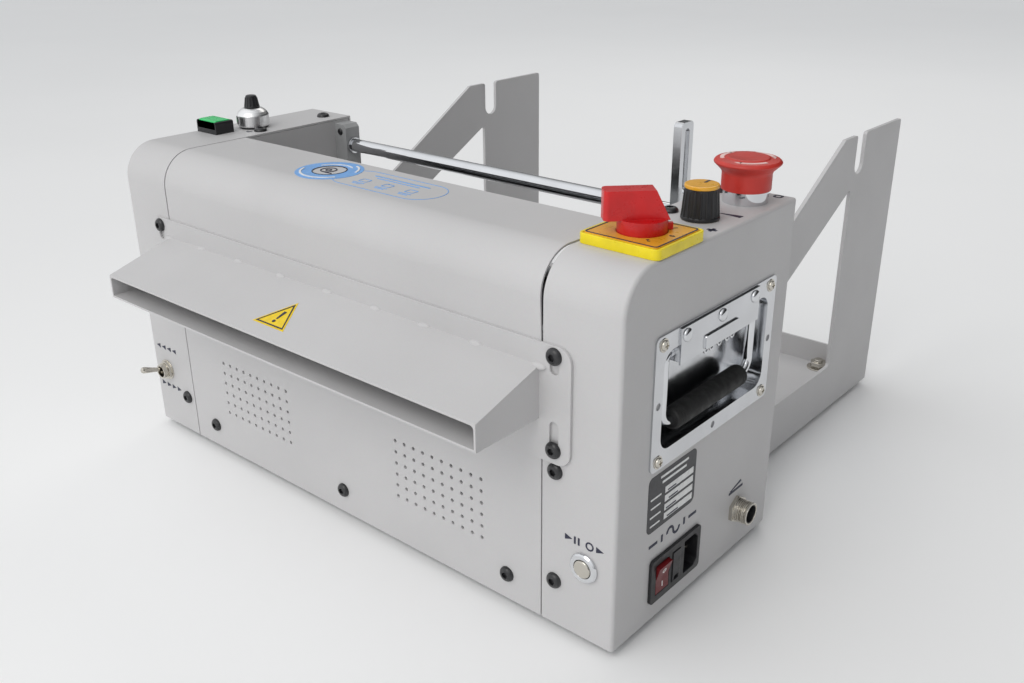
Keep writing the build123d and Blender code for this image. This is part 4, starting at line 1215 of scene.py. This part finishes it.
class MACHINE_OT_dial(bpy.types.Operator):
    """Counting dial: turned silver body with a window, and a tapered grip"""

    bl_idname = "machine.dial"
    bl_label = "Counting dial"

    def execute(self, context):
        low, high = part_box("dial_body")
        knob_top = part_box("dial_knob")[1].z
        place = standing(low, high, CASE_HIGH.z)
        base = [(0, 0), (11.4, 0), (11.4, 1.7), (0, 1.7)]
        turned("dial_base_ring", base, place, "black", MACHINE, ease=0.2)
        shell = [
            (3.1, 1.5), (12.2, 1.5), (12.95, 2.3), (12.95, 10.4), (12.5, 11.4), (11.2, 13.2),
            (9.2, 15.0),
        ]
        shell += [(7.6, 15.85), (7.2, 16.0), (3.1, 16.0)]
        body = turned("dial_shell", shell, place, "aluminium", MACHINE, ease=0.3)
        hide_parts("dial_body")
        self.window(place)
        tall = (knob_top - at(0, 0, HEIGHT + 16.2).z) / MM
        grip_place = place.copy()
        grip_place.translation.z = at(0, 0, HEIGHT + 16.2).z
        grip = [
            (0, -11), (3.05, -11), (3.05, 0), (6.3, 0), (6.3, 0.9), (5.7, 1.2), (4.3, tall - 0.5),
            (3.6, tall), (0, tall),
        ]
        knob = turned("dial_grip", grip, grip_place, "black", "dial_knob_body", ease=0.3)
        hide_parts("dial_knob")
        rib = turned_mesh([(0, 0), (0.8, 0), (0.65, 7.0), (0, 7.4)], still(), steps=8)
        rib.transform(Matrix.Translation((0, 0, 1.2 * MM)) @ Matrix.Rotation(math.radians(-9.0), 4, "Y"))
        pattern = {"Count": 14, "Radius": 5.35 * MM, "Rows": 1}
        repeated(
            "dial_grip_ribs", "ring", None, rib, "black", "dial_knob_body", "black_plastic",
            grip_place, **pattern,
        )
        return {"FINISHED"}

    def window(self, place):
        """Dark window with its figure, on the front-left of the shell."""
        turn = math.radians(-116)
        out = Vector((math.cos(turn), math.sin(turn), 0))
        origin = place.translation + out * 12.75 * MM + Vector((0, 0, 6.6 * MM))
        face = facing(origin, Vector((-math.sin(turn), math.cos(turn), 0)), (0, 0, 1))
        layers = [("plate_black", [soft_bar(0, 0, 5.2, 6.4, 0.5, 3)])]
        decal("dial_window", face, layers, MACHINE, lift=0.2 * MM)
        face.translation = origin + out * 0.32 * MM
        numerals("dial_window_figure", face, [("5", 0, 0, 5.0, 0)], "green", MACHINE)


class MACHINE_OT_toggle(bpy.types.Operator):
    """Toggle switch: threaded bush, hexagon nut and bat lever"""

    bl_idname = "machine.toggle"
    bl_label = "Toggle switch"

    def execute(self, context):
        eased("toggle_switch", "nickel", 0.35 * MM, segments=2)
        joint = next(j for j in frame["joints"] if j["child"] == "toggle_body")
        pivot = Vector(joint["pos_m"])
        tilt = math.radians(17.0)
        along = Vector((0, -math.cos(tilt), math.sin(tilt)))
        across = Vector((0, math.sin(tilt), math.cos(tilt)))
        place = facing(pivot, (1, 0, 0), across)
        lever = [(0, -3.0), (2.1, -2.1), (3.0, 0), (2.4, 1.8), (1.6, 2.6), (1.55, 6), (1.85, 12), (2.35, 18)]
        lever += [(2.65, 21.5), (2.6, 23.0), (2.1, 24.2), (1.2, 24.75), (0, 24.9)]
        if (place.to_3x3() @ Vector((0, 0, 1))).dot(along) < 0:
            place = facing(pivot, (-1, 0, 0), across)
        piece = turned("toggle_bat", lever, place, "nickel", "toggle_body", steps=32)
        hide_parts("toggle_lever")
        thread = turned_mesh([(4.9, 0), (6.05, 0.45), (4.9, 0.9)], still(), steps=32)
        bush_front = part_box("toggle_switch")[0].y
        spots = [
            (Vector((pivot.x, bush_front + (0.3 + 0.95 * n) * MM, pivot.z)), Vector((0, 1, 0)))
            for n in range(4)
        ]
        repeated("toggle_thread", "points", point_cloud(spots), thread, "nickel", MACHINE, "bright_metal")
        return {"FINISHED"}


class MACHINE_OT_test_button(bpy.types.Operator):
    """Plated push button with a chamfered ring"""

    bl_idname = "machine.test_button"
    bl_label = "Test button"

    def execute(self, context):
        eased("test_button_bezel", "chrome", 0.25 * MM)
        low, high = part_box("test_button_plunger")
        centre = (low + high) / 2
        place = facing(Vector((centre.x, high.y, centre.z)), (1, 0, 0), (0, 0, 1))
        tall = (high.y - low.y) / MM
        dome = [(0, 0), (5.85, 0), (5.85, tall - 1.1), (5.5, tall - 0.4), (4.6, tall - 0.08), (0, tall)]
        piece = turned(
            "test_button_dome", dome, place, "nickel", "test_plunger_body", ease=0.3
        )
        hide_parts("test_button_plunger")
        return {"FINISHED"}


class MACHINE_OT_mains(bpy.types.Operator):
    """Mains module: rocker with its two marks, fuse drawer and three-pin inlet"""

    bl_idname = "machine.mains"
    bl_label = "Mains module"

    def execute(self, context):
        eased("inlet_housing", "black", 0.5 * MM, segments=3)
        eased("inlet_rocker", "lamp", 0.6 * MM, segments=3)
        eased("fuse_drawer", "black", 0.35 * MM)
        eased("socket_pins", "nickel", 0.3 * MM)
        self.rocker_marks()
        return {"FINISHED"}

    def rocker_marks(self):
        """Ring at the top and stroke at the bottom of the rocker, on its two slopes."""
        joint = next(j for j in frame["joints"] if j["child"] == "rocker_body")
        pivot = Vector(joint["pos_m"])
        tilt = math.radians(7.0)
        slope = math.radians(8.1)
        for side, name in ((1, "ring"), (-1, "stroke")):
            lean = tilt + side * slope
            up = Vector((math.sin(lean), 0, math.cos(lean)))
            hinge = Matrix.Rotation(tilt, 4, "Y")
            foot = pivot + hinge @ Vector((3.71 * MM, 0, side * 5.0 * MM))
            face = facing(foot, (0, 1, 0), up)
            if side > 0:
                outlines = band(disc(0, 0, 1.8, 24), disc(0, 0, 1.2, 24))
            else:
                outlines = [bar(0, 0, 0.7, 3.6)]
            decal(f"rocker_{name}", face, [("white_ink", outlines)], "rocker_body")


class MACHINE_OT_pedal_connector(bpy.types.Operator):
    """Round pedal connector with a hexagon nut, thread and black insert"""

    bl_idname = "machine.pedal_connector"
    bl_label = "Pedal connector"

    def execute(self, context):
        eased("pedal_socket", "nickel", 0.2 * MM)
        low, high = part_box("pedal_socket")
        centre = Vector((at(WIDTH, 0, 0).x, (low.y + high.y) / 2, (low.z + high.z) / 2))
        place = facing(centre, (0, 1, 0), (0, 0, 1))
        reach = (high.x - centre.x) / MM
        lining = [
            (4.4, 1.6), (6.45, 1.6), (6.45, reach - 0.3), (5.9, reach - 0.25), (5.8, reach - 1.2),
            (5.6, 4.6), (4.4, 4.4),
        ]
        turned("pedal_lining", lining, place, "black", MACHINE)
        insert = [(0, 1.55), (5.9, 1.55), (5.9, 4.5), (5.4, 4.8), (0, 4.8)]
        turned("pedal_insert", insert, place, "black", MACHINE, ease=0.2)
        thread = turned_mesh([(7.3, 0), (7.95, 0.32), (7.95, 0.42), (7.3, 0.74)], still(), steps=40)
        spots = [(centre + Vector(((3.3 + 0.95 * turn) * MM, 0, 0)), Vector((1, 0, 0))) for turn in range(8)]
        repeated("pedal_thread", "points", point_cloud(spots), thread, "nickel", MACHINE, "bright_metal")
        return {"FINISHED"}


class MACHINE_OT_handles(bpy.types.Operator):
    """Recessed folding handles with plated pressings, wire bails and rubber grips"""

    bl_idname = "machine.handles"
    bl_label = "Folding handles"

    def execute(self, context):
        for side in ("left", "right"):
            eased(f"{side}_handle_dish", "pressed", 0.6 * MM, segments=3)
            eased(f"{side}_handle_bail", "chrome", 0.05 * MM, segments=1, angle=60.0, sharp=50.0)
            self.grip(side)
        eased("handle_hinge_covers", "pressed", 0.45 * MM, segments=2)
        self.fasteners()
        self.hinge_loops()
        return {"FINISHED"}

    def grip(self, side):
        """Rubber sleeve with a rolled end and two shallow rings at each end."""
        low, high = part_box(f"{side}_handle_grip")
        centre = (low + high) / 2
        place = facing(Vector((centre.x, low.y, centre.z)), (0, 0, 1), (1, 0, 0))
        length = (high.y - low.y) / MM
        edge = [
            (3.05, 0), (5.6, 0), (6.6, 0.7), (6.95, 1.8), (6.95, 3.2), (6.7, 3.5), (6.7, 3.9),
            (6.95, 4.2), (6.95, 5.6),
        ]
        edge += [(6.7, 5.9), (6.7, 6.3), (6.95, 6.6)]
        profile = edge + [(radius, length - height) for radius, height in reversed(edge)]
        piece = turned(
            f"{side}_grip_sleeve", profile, place, "rubber", f"{side}_bail_body",
            steps=48,
        )
        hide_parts(f"{side}_handle_grip")

    def fasteners(self):
        """Domed rivets through the covers and cross-head screws at the corners."""
        rivets, screws = [], []
        for low, high in islands("handle_fasteners"):
            centre = (low + high) / 2
            out = Vector((1, 0, 0)) if centre.x > 0 else Vector((-1, 0, 0))
            face = high.x if centre.x > 0 else low.x
            seat = Vector((face - out.x * 1.9 * MM, centre.y, centre.z))
            (rivets if self.is_rivet(face) else screws).append((seat, out))
        dome = rivet_mesh(4.1, 1.9)
        pan = cross_head_mesh(4.1, 1.9)
        piece = repeated(
            "handle_rivets", "points", point_cloud(rivets), dome, "chrome", MACHINE, "bright_metal"
        )
        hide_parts("handle_fasteners")
        repeated(
            "handle_corner_screws", "points", point_cloud(screws), pan, "nickel", MACHINE,
            "bright_metal",
        )

    def is_rivet(self, face):
        """Rivets stand one sheet further out than the corner screws."""
        outside = face - CASE_HIGH.x if face > 0 else CASE_LOW.x - face
        return outside > RIVET_STANDS_OUT

    def hinge_loops(self):
        """Row of rolled loops under the raised middle of each hinge cover."""
        for low, high in islands("handle_hinge_covers"):
            sign = 1 if low.x > 0 else -1
            face = high.x if sign > 0 else low.x
            x = face - sign * 2.4 * MM
            middle_y = (low.y + high.y) / 2
            spots = [
                (Vector((x, middle_y + step * MM, low.z - 0.4 * MM)), Vector((sign, 0, 0)))
                for step in (-15, -9, 0, 9, 15)
            ]
            loop = turned_mesh(
                [(1.5, -0.5), (2.6, -0.5), (2.6, 0.5), (1.5, 0.5)], still(), steps=24, ease=0.3
            )
            name = "right_hinge_loops" if sign > 0 else "left_hinge_loops"
            repeated(name, "points", point_cloud(spots), loop, "chrome", MACHINE, "bright_metal")


class MACHINE_OT_feet(bpy.types.Operator):
    """Rubber feet with a moulded rim"""

    bl_idname = "machine.feet"
    bl_label = "Feet"

    def execute(self, context):
        spots = []
        for low, high in islands("rubber_feet"):
            centre = (low + high) / 2
            spots.append((Vector((centre.x, centre.y, high.z)), Vector((0, 0, -1))))
        foot = [
            (0, 0), (11.0, 0), (10.9, 1.2), (9.4, 5.4), (8.8, 6.0), (6.2, 6.0), (5.8, 5.4),
            (5.4, 2.6), (0, 2.6),
        ]
        mesh = turned_mesh(foot, still(), steps=40)
        piece = repeated(
            "moulded_feet", "points", point_cloud(spots), mesh, "rubber", MACHINE, "black_rubber"
        )
        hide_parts("rubber_feet")
        return {"FINISHED"}


class MACHINE_OT_signs(bpy.types.Operator):
    """Printed symbols, the rating plate and the hood's badge, all generic"""

    bl_idname = "machine.signs"
    bl_label = "Printed signs"

    def execute(self, context):
        self.toggle_signs()
        self.test_sign()
        self.mains_sign()
        self.pedal_sign()
        self.top_signs()
        self.rating_plate()
        self.warning_sign()
        self.hood_badge()
        return {"FINISHED"}

    def arrows(self, count, pitch, size, direction):
        start = -pitch * (count - 1) / 2
        return [arrow_head(start + pitch * number, 0, size, direction) for number in range(count)]

    def toggle_signs(self):
        """Arrows away from and towards the rollers, above and below the lever."""
        decal("reverse_sign", on_front(20.5, 69.0), [("ink", self.arrows(4, 7.4, 3.0, 180))])
        decal("forward_sign", on_front(20.0, 34.5), [("ink", self.arrows(4, 7.4, 3.0, 0))])

    def test_sign(self):
        layers = [arrow_head(-10.5, 0, 3.0, 0), bar(-5.6, 0, 1.3, 5.0), bar(-2.8, 0, 1.3, 5.0)]
        layers += band(disc(5.0, 0, 2.9, 28), disc(5.0, 0, 1.9, 28)) + [arrow_head(12.0, 0, 3.0, 0)]
        decal("test_sign", on_front(449.0, 66.5), [("ink", layers)])

    def mains_sign(self):
        """Wave for alternating current between two plain bars."""
        shapes = [bar(-22, 0, 9, 1.9), bar(22, 0, 9, 1.9)]
        for side in (-1, 1):
            start = 0 if side < 0 else 180
            shapes += arc_band(3.4 * side, 0, 2.5, 4.3, start, start + 180, 10)
        shapes += [bar(-12.5, 0, 1.9, 5.0), bar(12.5, 0, 1.9, 5.0)]
        decal("mains_sign", on_right(61.0, 55.0), [("ink", shapes)])

    def pedal_sign(self):
        shapes = [
            [(-9, -2.8), (9, -2.8), (9, -1.0), (-9, -1.0)],
            [(-8, -0.4), (6, 3.4), (7, 1.8), (-7, -0.9)],
        ]
        decal("pedal_sign", on_right(138.5, 48.5), [("ink", shapes)])

    def top_signs(self):
        """Growing wedge and plus for the speed, ring for stop, mark for the dial."""
        wedge = [[(-7, -0.9), (7, -2.2), (7, 2.2), (-7, -0.3)]]
        decal("speed_sign", on_top(458.5, 127.5), [("ink", wedge)])
        plus = [bar(0, 0, 6.0, 2.0), bar(0, 0, 2.0, 6.0)]
        decal("plus_sign", on_top(465.0, 94.5), [("ink", plus)])
        ring = band(soft_bar(0, 0, 6, 6, 1.8, 3), soft_bar(0, 0, 3.4, 3.4, 0.6, 3))
        decal("stop_sign", on_top(461.0, 182.0), [("ink", ring)])
        decal("dial_sign", on_top(38.5, 91.5), [("ink", [bar(0, 0, 6, 1.0), bar(0, -2.0, 3.4, 1.0)])])

    def rating_plate(self):
        """Black plate with four white fields and plain bars where figures would stand."""
        fields = [bar(7.5, 4.6 - 6.1 * row, 31, 4.2) for row in range(4)]
        fields += [bar(1.5, 15.4, 30, 1.5), bar(1.5, 11.4, 26, 1.5)]
        fields += [bar(-17.8, 4.0 - 6.1 * row, 11 - row % 2, 1.0) for row in range(4)]
        inks = [bar(-1.0 + 2.0 * (row % 2), 3.6 - 6.1 * row, 9 + row, 0.8) for row in range(4)]
        plate = soft_bar(0, 0, 52, 38, 4.0)
        decal(
            "rating_plate", on_right(57.0, 84.0),
            [("plate_black", [plate]), ("white_ink", fields), ("ink", inks)],
        )

    def warning_sign(self):
        """Plain triangle with a stroke and dot, on the chute's roof."""
        rise = math.atan2(171.5 - 155.7, 53.0)
        middle_y = -34.0
        height = 155.7 + (middle_y + 55.0) * math.tan(rise)
        face = facing(at(229.5, middle_y, height), (1, 0, 0), (0, math.cos(rise), math.sin(rise)))
        tall = 27.0
        outer = [(-15.6, -11.5), (15.6, -11.5), (0, tall - 11.5)]
        inner = [(-13.6, -10.3), (13.6, -10.3), (0, tall - 13.8)]
        inside = [(-12.1, -9.3), (12.1, -9.3), (0, tall - 15.9)]
        mark = [[(-1.3, 4.5), (1.3, 4.5), (0.7, -3.6), (-0.7, -3.6)], disc(0, -6.0, 1.3, 16)]
        layers = [("warning", [outer]), ("ink", band(inner, inside) + mark)]
        decal("warning_sign", face, layers)

    def hood_badge(self):
        """Blue ring with a paper-roll symbol, and an outlined field with three symbols."""
        face = on_top(189.4, 47.8)
        ring = band(disc(0, 0, 24.0), disc(0, 0, 12.5))
        thin = band(disc(0, 0, 12.5), disc(0, 0, 11.7))
        roll = band(disc(-1.5, 0.5, 6.0, 32), disc(-1.5, 0.5, 5.2, 32)) + band(
            disc(-1.5, 0.5, 2.4, 20), disc(-1.5, 0.5, 1.7, 20)
        )
        roll += [bar(3.4, -5.2, 9.0, 0.8)]
        lines = arc_band(0, 0, 19.6, 21.0, 20, 70, 14) + arc_band(0, 0, 19.6, 21.0, 200, 330, 24)
        lines += arc_band(0, 0, 15.6, 16.6, 60, 160, 14)
        layers = [("badge", ring + [disc(60, 0, 0.8, 12)]), ("ink", thin + roll), ("white_ink", lines)]
        decal("hood_badge", face, layers)
        outline = band(soft_bar(60.0, 0, 95.0, 36.0, 17.9, 10), soft_bar(60.0, 0, 94.0, 35.0, 17.4, 10))
        kept = [quad for quad in outline if min(math.hypot(x, y) for x, y in quad) > 24.0]
        kept += [bar(62.0, 10.0, 52, 1.4), bar(62.0, 6.2, 40, 0.9)]
        for x in (40.0, 62.0, 84.0):
            kept += band(soft_bar(x, -3.0, 8.0, 6.4, 1.2, 3), soft_bar(x, -3.0, 6.8, 5.2, 0.8, 3))
            kept += [bar(x, -9.0, 11.0, 0.8), bar(x, -11.2, 8.0, 0.8)]
        decal("hood_field", face, [("badge", kept)])


class MACHINE_OT_studio(bpy.types.Operator):
    """Pale floor, soft lights and the camera"""

    bl_idname = "machine.studio"
    bl_label = "Studio"

    def execute(self, context):
        self.floor()
        self.lights()
        self.camera()
        return {"FINISHED"}

    def floor(self):
        bm = bmesh.new()
        bmesh.ops.create_grid(bm, x_segments=1, y_segments=1, size=6.0)
        mesh = bpy.data.meshes.new("studio_floor")
        bm.to_mesh(mesh)
        bm.free()
        floor = bpy.data.objects.new("studio_floor", mesh)
        bpy.context.scene.collection.objects.link(floor)
        material, tree, shader, place = surface_tree("pale_floor")
        tree.links.new(
            tint(tree, drift(tree, place, 2.0, 0, 1), (0.95, 0.95, 0.95), 0.99, 1.01),
            shader.inputs["Base Color"],
        )
        shader.inputs["Roughness"].default_value = 0.85
        mesh.materials.append(material)

    def lights(self):
        """One large softbox in front, a smaller one behind, and a soft surround that fades to the right."""
        studio = bpy.context.scene.studio_settings
        self.softbox("key_softbox", (0.15, -1.5, 1.5), 1.3, studio.key_power)
        self.softbox("rear_softbox", (-0.6, 1.6, 1.8), 1.2, studio.fill_power)
        world = bpy.data.worlds.new("studio_surround")
        world.use_nodes = True
        tree = world.node_tree
        background = tree.nodes["Background"]
        direction = add_node(tree, "ShaderNodeTexCoord").outputs["Generated"]
        towards = add_node(tree, "ShaderNodeVectorMath", {"operation": "DOT_PRODUCT"})
        tree.links.new(direction, towards.inputs[0])
        towards.inputs[1].default_value = (-0.42, -0.72, 0.55)
        ramp = add_node(
            tree, "ShaderNodeMapRange", {"interpolation_type": "SMOOTHSTEP"},
            Value=towards.outputs["Value"],
        )
        for key, value in (("From Min", -0.5), ("From Max", 0.9), ("To Min", 0.05), ("To Max", 1.08)):
            ramp.inputs[key].default_value = value
        level = add_node(tree, "ShaderNodeMath", {"operation": "MULTIPLY"})
        tree.links.new(ramp.outputs["Result"], level.inputs[0])
        level.inputs[1].default_value = studio.sky
        tree.links.new(level.outputs["Value"], background.inputs["Strength"])
        background.inputs["Color"].default_value = (0.97, 0.985, 1.0, 1.0)
        bpy.context.scene.world = world
        bpy.context.scene.view_settings.view_transform = "Standard"

    def softbox(self, name, place, size, power):
        light = bpy.data.lights.new(name, "AREA")
        light.shape = "DISK"
        light.size = size
        light.energy = power
        light.color = (1.0, 0.975, 0.94)
        holder = bpy.data.objects.new(name, light)
        bpy.context.scene.collection.objects.link(holder)
        holder.location = place
        holder.rotation_euler = (Vector((0, 0, 0.1)) - Vector(place)).to_track_quat("-Z", "Y").to_euler()

    def camera(self):
        studio = bpy.context.scene.studio_settings
        turn, rise, roll = studio.azimuth, studio.elevation, studio.roll
        ahead = Vector((-math.sin(turn) * math.cos(rise), math.cos(turn) * math.cos(rise), -math.sin(rise)))
        level = Vector((math.cos(turn), math.sin(turn), 0))
        down = ahead.cross(level)
        right = level * math.cos(roll) + down * math.sin(roll)
        up = right.cross(ahead)
        lens = bpy.data.cameras.new("studio_camera")
        lens.lens = studio.lens
        lens.sensor_width = 36.0
        lens.clip_start = 0.01
        camera = bpy.data.objects.new("studio_camera", lens)
        bpy.context.scene.collection.objects.link(camera)
        matrix = Matrix((right, up, -ahead)).transposed().to_4x4()
        matrix.translation = Vector(studio.stand)
        camera.matrix_world = matrix
        bpy.context.scene.camera = camera


class MACHINE_PT_panel(bpy.types.Panel):
    """Lists the settings and the pieces"""

    bl_label = "Cushion machine"
    bl_idname = "MACHINE_PT_panel"
    bl_space_type = "VIEW_3D"
    bl_region_type = "UI"
    bl_category = "Cushion machine"

    def draw(self, context):
        scene = context.scene
        for settings in (scene.machine_sizes, scene.machine_colours, scene.studio_settings):
            box = self.layout.box()
            for name in settings.bl_rna.properties.keys():
                if name not in ("rna_type", "name"):
                    box.prop(settings, name)
        for operator in PIECE_OPERATORS:
            self.layout.operator(operator.bl_idname)


SETTINGS = (MachineColours, MachineSizes, StudioSettings)
PIECE_OPERATORS = (
    MACHINE_OT_casing,
    MACHINE_OT_vents,
    MACHINE_OT_welds,
    MACHINE_OT_screws,
    MACHINE_OT_roll_holder,
    MACHINE_OT_paper_path,
    MACHINE_OT_rollers,
    MACHINE_OT_drive,
    MACHINE_OT_stop_button,
    MACHINE_OT_speed_knob,
    MACHINE_OT_selector,
    MACHINE_OT_start_button,
    MACHINE_OT_dial,
    MACHINE_OT_toggle,
    MACHINE_OT_test_button,
    MACHINE_OT_mains,
    MACHINE_OT_pedal_connector,
    MACHINE_OT_handles,
    MACHINE_OT_feet,
    MACHINE_OT_signs,
    MACHINE_OT_studio,
)


def register():
    for kind in SETTINGS + PIECE_OPERATORS + (MACHINE_PT_panel,):
        bpy.utils.register_class(kind)
    bpy.types.Scene.machine_colours = bpy.props.PointerProperty(type=MachineColours)
    bpy.types.Scene.machine_sizes = bpy.props.PointerProperty(type=MachineSizes)
    bpy.types.Scene.studio_settings = bpy.props.PointerProperty(type=StudioSettings)


def unregister():
    del bpy.types.Scene.studio_settings
    del bpy.types.Scene.machine_sizes
    del bpy.types.Scene.machine_colours
    for kind in reversed(SETTINGS + PIECE_OPERATORS + (MACHINE_PT_panel,)):
        bpy.utils.unregister_class(kind)


def main():
    register()
    make_finishes()
    for operator in PIECE_OPERATORS:
        group, name = operator.bl_idname.split(".")
        getattr(getattr(bpy.ops, group), name)()


if __name__ == "__main__":
    main()
